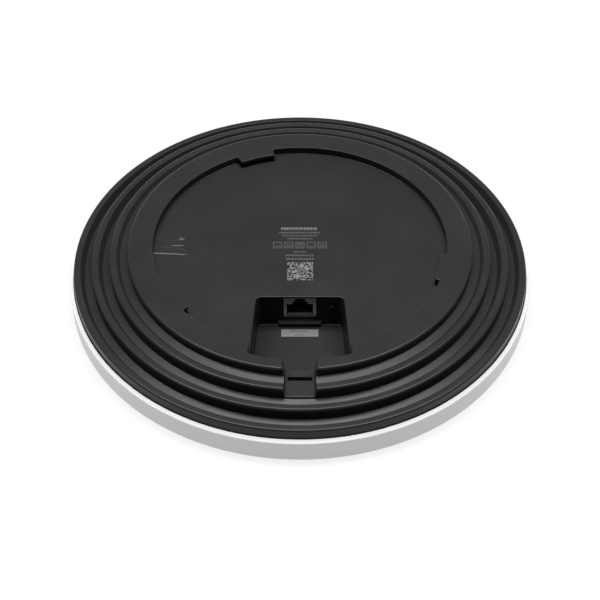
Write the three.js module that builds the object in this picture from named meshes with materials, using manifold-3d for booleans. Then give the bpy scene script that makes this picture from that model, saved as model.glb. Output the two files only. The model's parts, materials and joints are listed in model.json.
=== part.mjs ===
// Ceiling access point, lying on its front cover with its back up.
// Millimetres, +Z up. The origin is the centre of the front face; the cable pocket is toward -Y.
import * as THREE from "three";
import { mergeVertices } from "three/addons/utils/BufferGeometryUtils.js";
import Module from "manifold-3d";

const wasm = await Module();
wasm.setup();

// ---- Driving dimensions -----------------------------------------------------------------------

const GAP = 0.3; // clearance between neighbouring pieces
const ROUND_SEGMENTS = 72; // facets round the large circles
const SMALL_SEGMENTS = 12; // facets round screws and other small round pieces
const OVERCUT = 1; // how far a cutting solid runs past the face it cuts
const OVERLAP = 0.5; // how far two joined solids run into each other
const SEAT = 0.05; // air between a piece and the face that it stands on

// Front cover
const COVER_RADIUS = 107.5;
const COVER_WALL_TOP = 11.4; // the outer wall's height below the rim's chamfer
const COVER_RIM_TOP = 12.5;
const COVER_RIM_INNER_RADIUS = 105.75;
const COVER_FLOOR = 2.0; // thickness of the front face
const COVER_FILLET = 1.6; // round between the front face and the wall
const COVER_FILLET_FACETS = 3;
const COVER_RIM_FLAT = 0.15; // width of the rim's top
const SNAP_COUNT = 8;
const SNAP_WIDTH = 12;
const SNAP_REACH = 1.2; // how far each hook reaches inward from the cover's wall
const SNAP_BOTTOM = 6.8;
const SNAP_TOP = 8.7;

// Status light
const LIGHT_RADIUS = 21; // middle of the ring
const LIGHT_WIDTH = 1.6;
const LIGHT_DEPTH = 1.0;
const LIGHT_GUIDE_WIDTH = 3.6;
const LIGHT_GUIDE_TOP = 5.2;
const LED_COUNT = 4;
const LED_SIDE = 3.0;
const LED_HEIGHT = 0.8;

// Back housing: a plateau and three lower steps, each with a groove at the foot of its riser
const BACK_TOP = 26;
const FIRST_EDGE_RADIUS = 79.4;
const STEP_PITCH = 8.55;
const STEP_DROP = 3.0;
const RISER_LEAN = 0.1;
const GROOVE_END = 5.4; // where the next flat starts, outward from the riser's edge
const GROOVE_WALL_END = 6.3; // the far side of the groove's outer wall, inside the shell
const UNDERSIDE_CHAMFER = 0.5;
// Each groove's floor slopes down outward. Its depth below the next flat is given at the
// riser's foot and at its lowest line, which is this far out from the riser's edge.
const SHALLOW_GROOVE = { foot: 1.4, depth: 2.1, out: 3.9 };
const DEEP_GROOVE = { foot: 2.8, depth: 3.5, out: 3.7 };
const GROOVES = [SHALLOW_GROOVE, DEEP_GROOVE, DEEP_GROOVE];
const SHELL = 2.0; // wall thickness
const SKIRT_RADIUS = 105.4;
const SKIRT_BOTTOM = 5.0;

// Bayonet recess for the ceiling bracket
const RECESS_RADIUS = 68;
const RECESS_DEPTH = 3.8;
const RECESS_FLOOR = BACK_TOP - RECESS_DEPTH;
const RECESS_SHELL = 1.8;
const LUG_THICKNESS = 1.9;
const LUG_FACETS = 6;
// Each lug's span round the wall and its reach inward from it
const LUGS = [
  { spanDeg: [101.4, 116.9], reach: 4.6 },
  { spanDeg: [205.6, 220.9], reach: 3.2 },
  { spanDeg: [337.3, 351.5], reach: 2.5 },
];
const LUG_HOLE_MARGIN = 0.2; // the opening in the floor under each lug is narrower by this

// Catch on the recess floor: a long rib, a stop and a small bump, each an outline and a height
const CATCH_RIB = {
  outline: [
    [-68.6, 0.1],
    [-68.6, -5.2],
    [-51.5, -6.3],
    [-54.1, -1.7],
  ],
  height: 0.45,
};
const CATCH_STOP = {
  outline: [
    [-60, 0.1],
    [-53.8, 0.1],
    [-53.8, 4.2],
    [-60, 4.2],
  ],
  height: 0.35,
};
const CATCH_BUMP = {
  outline: [
    [-57, 4.3],
    [-53.6, 4.3],
    [-53.6, 6.2],
    [-57, 6.2],
  ],
  height: 0.4,
};

// Cable pocket, a tapered tub: its outline at the floor and just above the plateau
const POCKET_FLOOR = 5.1;
const POCKET_SHELL = 1.5;
const POCKET_LOW = { back: -33.6, backHalf: 19.2, frontHalf: 21.4, frontRadius: 72.4 };
const POCKET_HIGH_Z = 26.5;
const POCKET_HIGH = { back: -32.9, backHalf: 19.6, frontHalf: 21.9, frontRadius: 73.3 };
const POCKET_CORNER = 2.2;
const POCKET_CORNER_FACETS = 4;

// Cable channel from the pocket through the first step
const CHANNEL_FLOOR = 18.1;
const CHANNEL_HALF_LOW = 6.5;
const CHANNEL_HALF_HIGH = 7.3;
const CHANNEL_SHELL = 1.6;
const CHANNEL_END = -88.6;
const CHANNEL_START = -70;
const CHANNEL_SLOT = { half: 5.2, near: -78.8, far: -76.7, depth: 3 };
// The trough round the channel is taller under the first flat and under the plateau
const TROUGH_END = -87;
const TROUGH_FLAT_START = -84.2;
const TROUGH_PLATEAU_END = -78.5;
const TROUGH_COVER = 0.3; // plastic between the first groove's floor and the trough's top

// Shelf lip under the jack
const LIP = { rootHalf: 10.5, frontHalf: 9.3, corner: 0.7, root: -33, front: -35.5 };
const LIP_BOTTOM = 5.6;
const LIP_TOP = 7.6;

// Main board
const BOARD_RADIUS = 92;
const BOARD_BOTTOM = 6.4;
const BOARD_TOP = 8.0;
const BOARD_NOTCH_HALF = 24;
const BOARD_NOTCH_FAR = -30.6;
const BOARD_NOTCH_NEAR = -100; // past the board's edge

// Screws and bosses
const BOSS_CIRCLE_RADIUS = 73.5;
const BOSS_ANGLES_DEG = [0, 60, 120, 180, 235, 305];
const BOSS_RADIUS = 3.0;
const BOSS_HOLE_RADIUS = 1.6;
const BOSS_HOLE_TOP = 15.5;
const BOSS_CLEARANCE = 0.1; // between a boss and the board
const SCREW_RADIUS = 1.25;
const SCREW_TIP = 14.5;
const SCREW_TIP_RADIUS = 0.5;
const SCREW_TIP_LENGTH = 0.8;
const SCREW_HEAD_RADIUS = 2.7;
const SCREW_HEAD_HEIGHT = 1.6;
const SCREW_HEAD_CHAMFER = 0.5;
const SCREW_SOCKET = { top: 1.0, mouth: 1.2, depth: 0.6 }; // two radii and a depth

// Network jack
const JACK_WIDTH = 15.2;
const JACK_BOTTOM = 8.15;
const JACK_TOP = 20.9;
const JACK_FRONT = -32.6;
const JACK_BACK = -12.3;
const JACK_SHEET = 0.35;
const JACK_WINDOW_GAP = 0.4;
const JACK_WINDOW_FRONT = -36; // in the pocket's air
const PLUG_HALF_WIDTH = 5.9;
const PLUG_BOTTOM = 10.25;
const PLUG_TOP = 17.15;
const LATCH_WIDE_HALF = 3.35;
const LATCH_WIDE_TOP = 18.7;
const LATCH_NARROW_HALF = 2.3;
const LATCH_NARROW_TOP = JACK_TOP - JACK_SHEET;
const LEDGE_HALF = 5.4; // the shell's front is folded in along the mouth's lower edge
const LEDGE_DEPTH = 1.45;
const PLUG_DEPTH = 13.5;
const CONTACT_COUNT = 8;
const CONTACT_PITCH = 1.02;
const CONTACT_WIDTH = 0.46;
const CONTACT_THICKNESS = 0.3;
const CONTACT_RISE = 2.6;
const CONTACT_FOOT = 1.5; // length of the flat part at the mouth
const CONTACT_LIFT = 0.1; // above the cavity's floor
const CONTACT_SETBACK = 1.2; // from the insert's front
const CONTACT_END = 3; // from the cavity's back

// Reset switch
const RESET_X = 14.3;
const RESET_Z = 15.0;
const RESET_HOLE_RADIUS = 0.65;
const RESET_HOLE_Y = [-35, -30.5];
const PLUNGER_SEGMENTS = 16;
const PLUNGER_RADIUS = 1.6;
const PLUNGER_FRONT = -31.2;
const PLUNGER_BACK = -28.2;
const SWITCH_FRONT = -28.8;
const SWITCH_BACK = -25.2;
const SWITCH_HALF = 3.0;
const SWITCH_SOCKET_BOTTOM = -27.4;
const SWITCH_BRACKET_SHEET = 0.4;
const SWITCH_BRACKET_FOOT = 4;

// Electronics on top of the board
const CAN_HEIGHT = 2.2;
const CAN_SHEET = 0.3;
const CHIP_HEIGHT = 1.2;
const HEAT_SINK_BOTTOM = 11.4;
const HEAT_SINK_PLATE = 2.0;
const HEAT_SINK_TOP = 19.6;
const HEAT_SINK_RADIUS = 67;
const HEAT_SINK_EDGE_Y = 6.5;
const HEAT_SINK_SEGMENTS = 24;
const HEAT_SINK_LEG_RADIUS = 2.2;
const HEAT_SINK_LEGS = [
  [-36, 10],
  [36, 10],
  [-19, 52],
  [19, 52],
];
const FIN_COUNT = 9;
const FIN_PITCH = 13;
const FIN_THICKNESS = 1.6;
const FIN_MARGIN = 2; // from a fin's ends to the plate's edge
const THERMAL_PAD_INSET = 2;
const SHIELDS = [
  { name: "processor", x: [-17, 17], y: [12, 40], chip: 18 },
  { name: "radio_low", x: [-50, -22], y: [14, 42], chip: 11 },
  { name: "radio_mid", x: [22, 50], y: [14, 42], chip: 11 },
  { name: "radio_high", x: [-15, 15], y: [43, 61], chip: 10 },
];
const MEMORY_CHIP = { x: [-38, -26], y: [-12, -2], height: 1.1 };
const FLASH_CHIP = { x: [-22, -14], y: [-10, -4], height: 1.0 };
const LAN_TRANSFORMER = { x: [-8, 8], y: [-9, 3], height: 6 };
const POWER_INDUCTOR = { x: [13, 23], y: [-9, 1], height: 5 };
const CAPACITOR_SEGMENTS = 16;
const CAPACITOR_RADIUS = 4.0;
const CAPACITOR_HEIGHT = 10;
const CAPACITOR_NECK = { depth: 0.3, from: 1.4, middle: 1.8, to: 2.2 };
const CAPACITOR_CHAMFER = { width: 0.5, height: 0.4 };
const CAPACITORS = [
  [43, -14],
  [43, -25],
];
// Power transformer: ranges across, along and above the board
const WINDING = { x: [23.5, 34.5], y: [-27, -12], z: [1.5, 9] };
const LOWER_FLANGE = { x: [22, 36], y: [-27, -12], z: [0, 2] };
const UPPER_FLANGE = { x: [22, 36], y: [-27, -12], z: [8.6, 10] };
const TRANSFORMER_CORE = { x: [26, 32], y: [-28.5, -10.5], z: [0.5, 10.5] };

// Antennas round the board's edge
const ANTENNA_COUNT = 8;
const ANTENNA_FIRST_DEG = -50;
const ANTENNA_STEP_DEG = 40;
const ANTENNA_RADIUS = 84;
const ANTENNA_LENGTH = 24;
const ANTENNA_DEPTH = 7;
const ANTENNA_HEIGHT = 5;
const ANTENNA_SHEET = 0.4;
const ANTENNA_LEG = 2; // width of each leg
const ANTENNA_FEED = 5; // from the plate's end to the feed leg
const ANTENNA_SLOT = { from: 9, to: 11, inset: 2 };

// Serial label on the pocket's floor
const LABEL = { half: 8.45, near: -41.6, far: -37.0, gap: 0.02, thickness: 0.12 };

// ---- Materials --------------------------------------------------------------------------------

function material(color, roughness, metalness = 0) {
  return new THREE.MeshStandardMaterial({ color, roughness, metalness });
}

const WHITE_PLASTIC = material(0xf3f3f1, 0.45);
const DARK_PLASTIC = material(0x3b3d3c, 0.6);
const BLACK_PLASTIC = material(0x141414, 0.5);
const DIFFUSER = material(0xe9eef2, 0.3);
const BOARD_GREEN = material(0x14402c, 0.5);
const CHIP_BLACK = material(0x1b1b1d, 0.6);
const PLATED_STEEL = material(0xaeb2b6, 0.35, 1);
const TINNED_STEEL = material(0xc3c4c2, 0.4, 1);
const GOLD = material(0xc9a24a, 0.3, 1);
const ALUMINIUM = material(0xb4b7ba, 0.5, 1);
const PAD_GREY = material(0x8d97a3, 0.8);
const LABEL_PAPER = material(0xa3a5a5, 0.6);
const YELLOW_TAPE = material(0xb8a24c, 0.5);

// ---- Shape helpers ----------------------------------------------------------------------------

function toSolid(geometry) {
  const bare = geometry.clone();
  bare.deleteAttribute("normal");
  bare.deleteAttribute("uv");
  const merged = mergeVertices(bare, 1e-4);
  return new wasm.Manifold(
    new wasm.Mesh({
      numProp: 3,
      vertProperties: merged.attributes.position.array,
      triVerts: new Uint32Array(merged.index.array),
    }),
  );
}

function toGeometry(solid) {
  const mesh = solid.getMesh();
  const geometry = new THREE.BufferGeometry();
  geometry.setAttribute("position", new THREE.BufferAttribute(mesh.vertProperties, 3));
  geometry.setIndex(new THREE.BufferAttribute(mesh.triVerts, 1));
  geometry.computeVertexNormals();
  return geometry;
}

function joined(solids) {
  return solids.reduce((whole, solid) => whole.add(solid));
}

function box(x, y, z) {
  const geometry = new THREE.BoxGeometry(x[1] - x[0], y[1] - y[0], z[1] - z[0]);
  geometry.translate((x[0] + x[1]) / 2, (y[0] + y[1]) / 2, (z[0] + z[1]) / 2);
  return toSolid(geometry);
}

// A body of revolution about Z. The profile is [radius, z] points, counter-clockwise.
function revolved(profile, segments = ROUND_SEGMENTS) {
  const points = profile.map(([radius, z]) => new THREE.Vector2(radius, z));
  return toSolid(new THREE.LatheGeometry(points, segments).rotateX(Math.PI / 2));
}

function closed(profile) {
  return [...profile, profile[0]];
}

function uprightRod(x, y, radius, z, segments = SMALL_SEGMENTS) {
  const geometry = new THREE.CylinderGeometry(radius, radius, z[1] - z[0], segments);
  geometry.rotateX(Math.PI / 2);
  geometry.translate(x, y, (z[0] + z[1]) / 2);
  return toSolid(geometry);
}

function rodAlongY(x, z, radius, y, segments = SMALL_SEGMENTS) {
  const geometry = new THREE.CylinderGeometry(radius, radius, y[1] - y[0], segments);
  geometry.translate(x, (y[0] + y[1]) / 2, z);
  return toSolid(geometry);
}

function shapeOf(points) {
  return new THREE.Shape(points.map(([x, y]) => new THREE.Vector2(x, y)));
}

function extrudedUp(shape, z, curveSegments = SMALL_SEGMENTS) {
  const options = { depth: z[1] - z[0], bevelEnabled: false, curveSegments };
  return toSolid(new THREE.ExtrudeGeometry(shape, options).translate(0, 0, z[0]));
}

// Extrudes an outline of [x, z] points from y[0] to y[1].
function extrudedAlongY(points, y) {
  const options = { depth: y[1] - y[0], bevelEnabled: false };
  const geometry = new THREE.ExtrudeGeometry(shapeOf(points), options);
  geometry.rotateX(Math.PI / 2);
  geometry.translate(0, y[1], 0);
  return toSolid(geometry);
}

// Extrudes an outline of [y, z] points from x[0] to x[1].
function extrudedAlongX(points, x) {
  const options = { depth: x[1] - x[0], bevelEnabled: false };
  const geometry = new THREE.ExtrudeGeometry(shapeOf(points), options);
  geometry.rotateX(Math.PI / 2);
  geometry.rotateZ(Math.PI / 2);
  geometry.translate(x[0], 0, 0);
  return toSolid(geometry);
}

function ringSector(innerRadius, outerRadius, spanDeg, z, facets) {
  const [from, to] = spanDeg.map(THREE.MathUtils.degToRad);
  const shape = new THREE.Shape();
  shape.absarc(0, 0, outerRadius, from, to, false);
  shape.absarc(0, 0, innerRadius, to, from, true);
  return extrudedUp(shape, z, facets);
}

// A tapered solid between two convex outlines that have the same number of points.
function lofted(low, lowZ, high, highZ) {
  const count = low.length;
  const positions = [
    ...low.flatMap((p) => [p.x, p.y, lowZ]),
    ...high.flatMap((p) => [p.x, p.y, highZ]),
  ];
  const indices = [];
  for (let i = 0; i < count; i++) {
    const next = (i + 1) % count;
    indices.push(i, next, count + next, i, count + next, count + i);
  }
  for (let i = 1; i < count - 1; i++) {
    indices.push(0, i + 1, i);
    indices.push(count, count + i, count + i + 1);
  }
  const geometry = new THREE.BufferGeometry();
  geometry.setAttribute("position", new THREE.Float32BufferAttribute(positions, 3));
  geometry.setIndex(indices);
  return toSolid(geometry);
}

function polar(radius, angleDeg) {
  const angle = THREE.MathUtils.degToRad(angleDeg);
  return [radius * Math.cos(angle), radius * Math.sin(angle)];
}

// ---- Front cover and status light -------------------------------------------------------------

function snapAngles() {
  return Array.from({ length: SNAP_COUNT }, (_, i) => ((i + 0.5) * 360) / SNAP_COUNT);
}

function snapBlock(angleDeg, radii, width, z) {
  const block = box(radii, [-width / 2, width / 2], z);
  return block.rotate([0, 0, angleDeg]);
}

function frontCover() {
  const fillet = Array.from({ length: COVER_FILLET_FACETS + 1 }, (_, i) => {
    const angle = (-Math.PI / 2) * (1 - i / COVER_FILLET_FACETS);
    const centre = COVER_RADIUS - COVER_FILLET;
    return [centre + COVER_FILLET * Math.cos(angle), COVER_FILLET * (1 + Math.sin(angle))];
  });
  const dish = revolved([
    [0, 0],
    ...fillet,
    [COVER_RADIUS, COVER_WALL_TOP],
    [COVER_RIM_INNER_RADIUS + COVER_RIM_FLAT, COVER_RIM_TOP],
    [COVER_RIM_INNER_RADIUS, COVER_RIM_TOP],
    [COVER_RIM_INNER_RADIUS, COVER_FLOOR],
    [0, COVER_FLOOR],
  ]);
  const grooveInner = LIGHT_RADIUS - LIGHT_WIDTH / 2 - GAP;
  const grooveOuter = LIGHT_RADIUS + LIGHT_WIDTH / 2 + GAP;
  const groove = ringBetween(grooveInner, grooveOuter, [-OVERCUT, LIGHT_DEPTH + GAP]);
  const hooks = snapAngles().map((angle) =>
    snapBlock(
      angle,
      [COVER_RIM_INNER_RADIUS - SNAP_REACH, COVER_RIM_INNER_RADIUS + OVERLAP],
      SNAP_WIDTH,
      [SNAP_BOTTOM, SNAP_TOP],
    ),
  );
  return joined([dish.subtract(groove), ...hooks]);
}

function ringBetween(inner, outer, z) {
  const section = [
    [inner, z[0]],
    [outer, z[0]],
    [outer, z[1]],
    [inner, z[1]],
  ];
  return revolved(closed(section), ROUND_SEGMENTS / 2);
}

function lightRing() {
  const half = LIGHT_WIDTH / 2;
  return ringBetween(LIGHT_RADIUS - half, LIGHT_RADIUS + half, [0, LIGHT_DEPTH]);
}

function lightGuide() {
  const half = LIGHT_GUIDE_WIDTH / 2;
  const bottom = COVER_FLOOR + GAP / 2;
  return ringBetween(LIGHT_RADIUS - half, LIGHT_RADIUS + half, [bottom, LIGHT_GUIDE_TOP]);
}

// ---- Back housing -----------------------------------------------------------------------------

// The riser and the groove at the outer side of one step, ending on the next flat.
function stepProfile({ edge, flat, groove }) {
  const nextFlat = flat - STEP_DROP;
  return [
    [edge, flat],
    [edge + RISER_LEAN, nextFlat - groove.foot],
    [edge + groove.out, nextFlat - groove.depth],
    [edge + GROOVE_END, nextFlat],
  ];
}

// The underside of the same step, one wall thickness below.
function stepUnderside({ edge, flat, groove }) {
  const nextFlat = flat - STEP_DROP;
  const low = nextFlat - groove.depth - SHELL;
  return [
    [edge - SHELL, flat - SHELL],
    [edge - SHELL, low],
    [edge + GROOVE_WALL_END - UNDERSIDE_CHAMFER, low],
    [edge + GROOVE_WALL_END, nextFlat - SHELL],
  ];
}

function steps() {
  return GROOVES.map((groove, i) => ({
    edge: FIRST_EDGE_RADIUS + i * STEP_PITCH,
    flat: BACK_TOP - i * STEP_DROP,
    groove,
  }));
}

function housingShell() {
  const lastFlat = BACK_TOP - GROOVES.length * STEP_DROP;
  const lastEdge = FIRST_EDGE_RADIUS + GROOVES.length * STEP_PITCH;
  const outside = [
    [0, RECESS_FLOOR],
    [RECESS_RADIUS, RECESS_FLOOR],
    [RECESS_RADIUS, BACK_TOP],
    ...steps().flatMap(stepProfile),
    [lastEdge, lastFlat],
    [SKIRT_RADIUS, COVER_RIM_TOP],
    [SKIRT_RADIUS, SKIRT_BOTTOM],
  ];
  const underside = steps().flatMap(stepUnderside);
  const inside = [
    [SKIRT_RADIUS - SHELL, SKIRT_BOTTOM],
    [lastEdge - SHELL, lastFlat - SHELL],
    ...underside.reverse(),
    [RECESS_RADIUS + SHELL, BACK_TOP - SHELL],
    [RECESS_RADIUS + SHELL, RECESS_FLOOR - RECESS_SHELL],
    [0, RECESS_FLOOR - RECESS_SHELL],
  ];
  return revolved([...outside, ...inside].reverse());
}

// The pocket's outline seen from above, grown outward by the given amount.
function pocketOutline({ back, backHalf, frontHalf, frontRadius }, grow) {
  const radius = frontRadius + grow;
  const half = frontHalf + grow;
  const side = backHalf + grow;
  const top = back + grow;
  const frontY = -Math.sqrt(radius ** 2 - half ** 2);
  const corner = Math.atan2(frontY, half);
  const lean = (half - side) * (POCKET_CORNER / (top - frontY));
  const shape = new THREE.Shape();
  shape.moveTo(half, frontY);
  shape.lineTo(side + lean, top - POCKET_CORNER);
  shape.quadraticCurveTo(side, top, side - POCKET_CORNER, top);
  shape.lineTo(POCKET_CORNER - side, top);
  shape.quadraticCurveTo(-side, top, -side - lean, top - POCKET_CORNER);
  shape.lineTo(-half, frontY);
  shape.absarc(0, 0, radius, -Math.PI - corner, corner, false);
  const points = shape.getPoints(POCKET_CORNER_FACETS);
  return points.slice(0, -1);
}

function pocketTub(grow, lowZ, highZ) {
  const blend = (z) => (z - POCKET_FLOOR) / (POCKET_HIGH_Z - POCKET_FLOOR);
  const outlineAt = (z) => {
    const at = {};
    for (const key of Object.keys(POCKET_LOW)) {
      at[key] = POCKET_LOW[key] + blend(z) * (POCKET_HIGH[key] - POCKET_LOW[key]);
    }
    return pocketOutline(at, grow);
  };
  return lofted(outlineAt(lowZ), lowZ, outlineAt(highZ), highZ);
}

// The walls and floor round the pocket, cut level with the recess floor inside the recess.
function pocketWalls() {
  const tub = pocketTub(POCKET_SHELL, POCKET_FLOOR - POCKET_SHELL, BACK_TOP - SHELL / 2);
  const recessAir = [RECESS_FLOOR, BACK_TOP + OVERCUT];
  return tub.subtract(uprightRod(0, 0, RECESS_RADIUS + SHELL / 2, recessAir, ROUND_SEGMENTS));
}

function channelCut() {
  const outline = [
    [-CHANNEL_HALF_LOW, CHANNEL_FLOOR],
    [CHANNEL_HALF_LOW, CHANNEL_FLOOR],
    [CHANNEL_HALF_HIGH, BACK_TOP + OVERCUT],
    [-CHANNEL_HALF_HIGH, BACK_TOP + OVERCUT],
  ];
  return extrudedAlongY(outline, [CHANNEL_END, CHANNEL_START]);
}

function channelTrough() {
  const half = CHANNEL_HALF_HIGH + CHANNEL_SHELL;
  const bottom = CHANNEL_FLOOR - CHANNEL_SHELL;
  const grooveFloor = BACK_TOP - STEP_DROP - GROOVES[0].depth;
  const stretch = (y, top) => box([-half, half], y, [bottom, top]);
  return joined([
    stretch([TROUGH_END, CHANNEL_START], grooveFloor - TROUGH_COVER),
    stretch([TROUGH_END, TROUGH_FLAT_START], BACK_TOP - STEP_DROP - SHELL / 2),
    stretch([TROUGH_PLATEAU_END, CHANNEL_START], BACK_TOP - SHELL / 2),
  ]);
}

function channelSlot() {
  const { half, near, far, depth } = CHANNEL_SLOT;
  return box([-half, half], [near, far], [CHANNEL_FLOOR - depth, CHANNEL_FLOOR + OVERCUT]);
}

function shelfLip() {
  const { rootHalf, frontHalf, corner, root, front } = LIP;
  const outline = [
    [-rootHalf, root],
    [-frontHalf, front + corner],
    [-frontHalf + corner, front],
    [frontHalf - corner, front],
    [frontHalf, front + corner],
    [rootHalf, root],
  ];
  return extrudedUp(shapeOf(outline), [LIP_BOTTOM, LIP_TOP]);
}

function lug({ spanDeg, reach }) {
  const inner = RECESS_RADIUS - reach;
  const outer = RECESS_RADIUS + SHELL / 2;
  return ringSector(inner, outer, spanDeg, [BACK_TOP - LUG_THICKNESS, BACK_TOP], LUG_FACETS);
}

function lugHole({ spanDeg, reach }) {
  const inner = RECESS_RADIUS - reach + LUG_HOLE_MARGIN;
  const outer = RECESS_RADIUS - LUG_HOLE_MARGIN;
  const z = [RECESS_FLOOR - RECESS_SHELL - OVERCUT, RECESS_FLOOR + OVERLAP];
  return ringSector(inner, outer, spanDeg, z, LUG_FACETS);
}

function catchPiece({ outline, height }) {
  return extrudedUp(shapeOf(outline), [RECESS_FLOOR - OVERLAP, RECESS_FLOOR + height]);
}

function boss(angleDeg) {
  const [x, y] = polar(BOSS_CIRCLE_RADIUS, angleDeg);
  return uprightRod(x, y, BOSS_RADIUS, [BOARD_TOP + BOSS_CLEARANCE, BACK_TOP - SHELL / 2]);
}

function bossHole(angleDeg) {
  const [x, y] = polar(BOSS_CIRCLE_RADIUS, angleDeg);
  return uprightRod(x, y, BOSS_HOLE_RADIUS, [BOARD_TOP - OVERCUT, BOSS_HOLE_TOP]);
}

function snapWindow(angleDeg) {
  const radii = [SKIRT_RADIUS - SHELL - OVERCUT, SKIRT_RADIUS + OVERCUT];
  return snapBlock(angleDeg, radii, SNAP_WIDTH + 2 * GAP, [SNAP_BOTTOM - GAP, SNAP_TOP + GAP]);
}

function jackWindow() {
  const half = JACK_WIDTH / 2 + JACK_WINDOW_GAP;
  const z = [JACK_BOTTOM - JACK_WINDOW_GAP, JACK_TOP + JACK_WINDOW_GAP];
  return box([-half, half], [JACK_WINDOW_FRONT, JACK_BACK + JACK_WINDOW_GAP], z);
}

function backHousing() {
  const added = joined([
    housingShell(),
    pocketWalls(),
    channelTrough(),
    ...[CATCH_RIB, CATCH_STOP, CATCH_BUMP].map(catchPiece),
    ...LUGS.map(lug),
    ...BOSS_ANGLES_DEG.map(boss),
  ]);
  const cuts = joined([
    pocketTub(0, POCKET_FLOOR, POCKET_HIGH_Z),
    channelCut(),
    channelSlot(),
    jackWindow(),
    rodAlongY(RESET_X, RESET_Z, RESET_HOLE_RADIUS, RESET_HOLE_Y),
    ...LUGS.map(lugHole),
    ...BOSS_ANGLES_DEG.map(bossHole),
    ...snapAngles().map(snapWindow),
  ]);
  return added.subtract(cuts).add(shelfLip());
}

function serialLabel() {
  const bottom = POCKET_FLOOR + LABEL.gap;
  const z = [bottom, bottom + LABEL.thickness];
  return box([-LABEL.half, LABEL.half], [LABEL.near, LABEL.far], z);
}

// ---- Board, screws and electronics ------------------------------------------------------------

function mainBoard() {
  const thickness = [BOARD_BOTTOM, BOARD_TOP];
  const through = [BOARD_BOTTOM - OVERCUT, BOARD_TOP + OVERCUT];
  const disc = uprightRod(0, 0, BOARD_RADIUS, thickness, ROUND_SEGMENTS);
  const notchY = [BOARD_NOTCH_NEAR, BOARD_NOTCH_FAR];
  const notch = box([-BOARD_NOTCH_HALF, BOARD_NOTCH_HALF], notchY, through);
  const holes = BOSS_ANGLES_DEG.map((angle) => {
    const [x, y] = polar(BOSS_CIRCLE_RADIUS, angle);
    return uprightRod(x, y, BOSS_HOLE_RADIUS, through);
  });
  return disc.subtract(joined([notch, ...holes]));
}

function boardScrew(angleDeg) {
  const [x, y] = polar(BOSS_CIRCLE_RADIUS, angleDeg);
  const headTop = BOARD_BOTTOM - SEAT;
  const headBottom = headTop - SCREW_HEAD_HEIGHT;
  const socketTop = headBottom + SCREW_SOCKET.depth;
  const screw = revolved(
    [
      [0, socketTop],
      [SCREW_SOCKET.top, socketTop],
      [SCREW_SOCKET.mouth, headBottom],
      [SCREW_HEAD_RADIUS - SCREW_HEAD_CHAMFER, headBottom],
      [SCREW_HEAD_RADIUS, headBottom + SCREW_HEAD_CHAMFER],
      [SCREW_HEAD_RADIUS, headTop],
      [SCREW_RADIUS, headTop],
      [SCREW_RADIUS, SCREW_TIP - SCREW_TIP_LENGTH],
      [SCREW_TIP_RADIUS, SCREW_TIP],
      [0, SCREW_TIP],
    ],
    SMALL_SEGMENTS,
  );
  return screw.translate([x, y, 0]);
}

// Heights above the board, as a z range that leaves the seat gap.
function onBoard([from, to]) {
  return [BOARD_TOP + SEAT + from, BOARD_TOP + SEAT + to];
}

function chipOnBoard({ x, y, height }) {
  return box(x, y, onBoard([0, height]));
}

function shieldCan({ x, y }) {
  const top = BOARD_TOP + CAN_HEIGHT;
  const inner = (range) => [range[0] + CAN_SHEET, range[1] - CAN_SHEET];
  const outside = box(x, y, [BOARD_TOP, top]);
  return outside.subtract(box(inner(x), inner(y), [BOARD_TOP - OVERCUT, top - CAN_SHEET]));
}

function shieldedChip({ x, y, chip }) {
  const middle = (range) => (range[0] + range[1]) / 2;
  const across = (range) => [middle(range) - chip / 2, middle(range) + chip / 2];
  return box(across(x), across(y), onBoard([0, CHIP_HEIGHT]));
}

function thermalPad({ x, y }) {
  const inner = (range) => [range[0] + THERMAL_PAD_INSET, range[1] - THERMAL_PAD_INSET];
  return box(inner(x), inner(y), [BOARD_TOP + CAN_HEIGHT + SEAT, HEAT_SINK_BOTTOM - SEAT]);
}

function heatSink() {
  const corner = Math.asin(HEAT_SINK_EDGE_Y / HEAT_SINK_RADIUS);
  const shape = new THREE.Shape();
  shape.absarc(0, 0, HEAT_SINK_RADIUS, corner, Math.PI - corner, false);
  const plateTop = HEAT_SINK_BOTTOM + HEAT_SINK_PLATE;
  const plate = extrudedUp(shape, [HEAT_SINK_BOTTOM, plateTop], HEAT_SINK_SEGMENTS);
  const finEnds = HEAT_SINK_RADIUS - FIN_MARGIN;
  const fins = Array.from({ length: FIN_COUNT }, (_, i) => {
    const x = (i - (FIN_COUNT - 1) / 2) * FIN_PITCH;
    const far = Math.sqrt(finEnds ** 2 - (Math.abs(x) + FIN_THICKNESS / 2) ** 2);
    const thickness = [x - FIN_THICKNESS / 2, x + FIN_THICKNESS / 2];
    return box(thickness, [HEAT_SINK_EDGE_Y + FIN_MARGIN, far], [plateTop - OVERLAP, HEAT_SINK_TOP]);
  });
  const legZ = [BOARD_TOP + SEAT, plateTop - OVERLAP];
  const legs = HEAT_SINK_LEGS.map(([x, y]) => uprightRod(x, y, HEAT_SINK_LEG_RADIUS, legZ));
  return joined([plate, ...fins, ...legs]);
}

function capacitor(index) {
  const [x, y] = CAPACITORS[index];
  const bottom = BOARD_TOP + SEAT;
  const top = bottom + CAPACITOR_HEIGHT;
  const can = [
    [0, bottom],
    [CAPACITOR_RADIUS, bottom],
    [CAPACITOR_RADIUS, bottom + CAPACITOR_NECK.from],
    [CAPACITOR_RADIUS - CAPACITOR_NECK.depth, bottom + CAPACITOR_NECK.middle],
    [CAPACITOR_RADIUS, bottom + CAPACITOR_NECK.to],
    [CAPACITOR_RADIUS, top - CAPACITOR_CHAMFER.height],
    [CAPACITOR_RADIUS - CAPACITOR_CHAMFER.width, top],
    [0, top],
  ];
  return revolved(can, CAPACITOR_SEGMENTS).translate([x, y, 0]);
}

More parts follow.
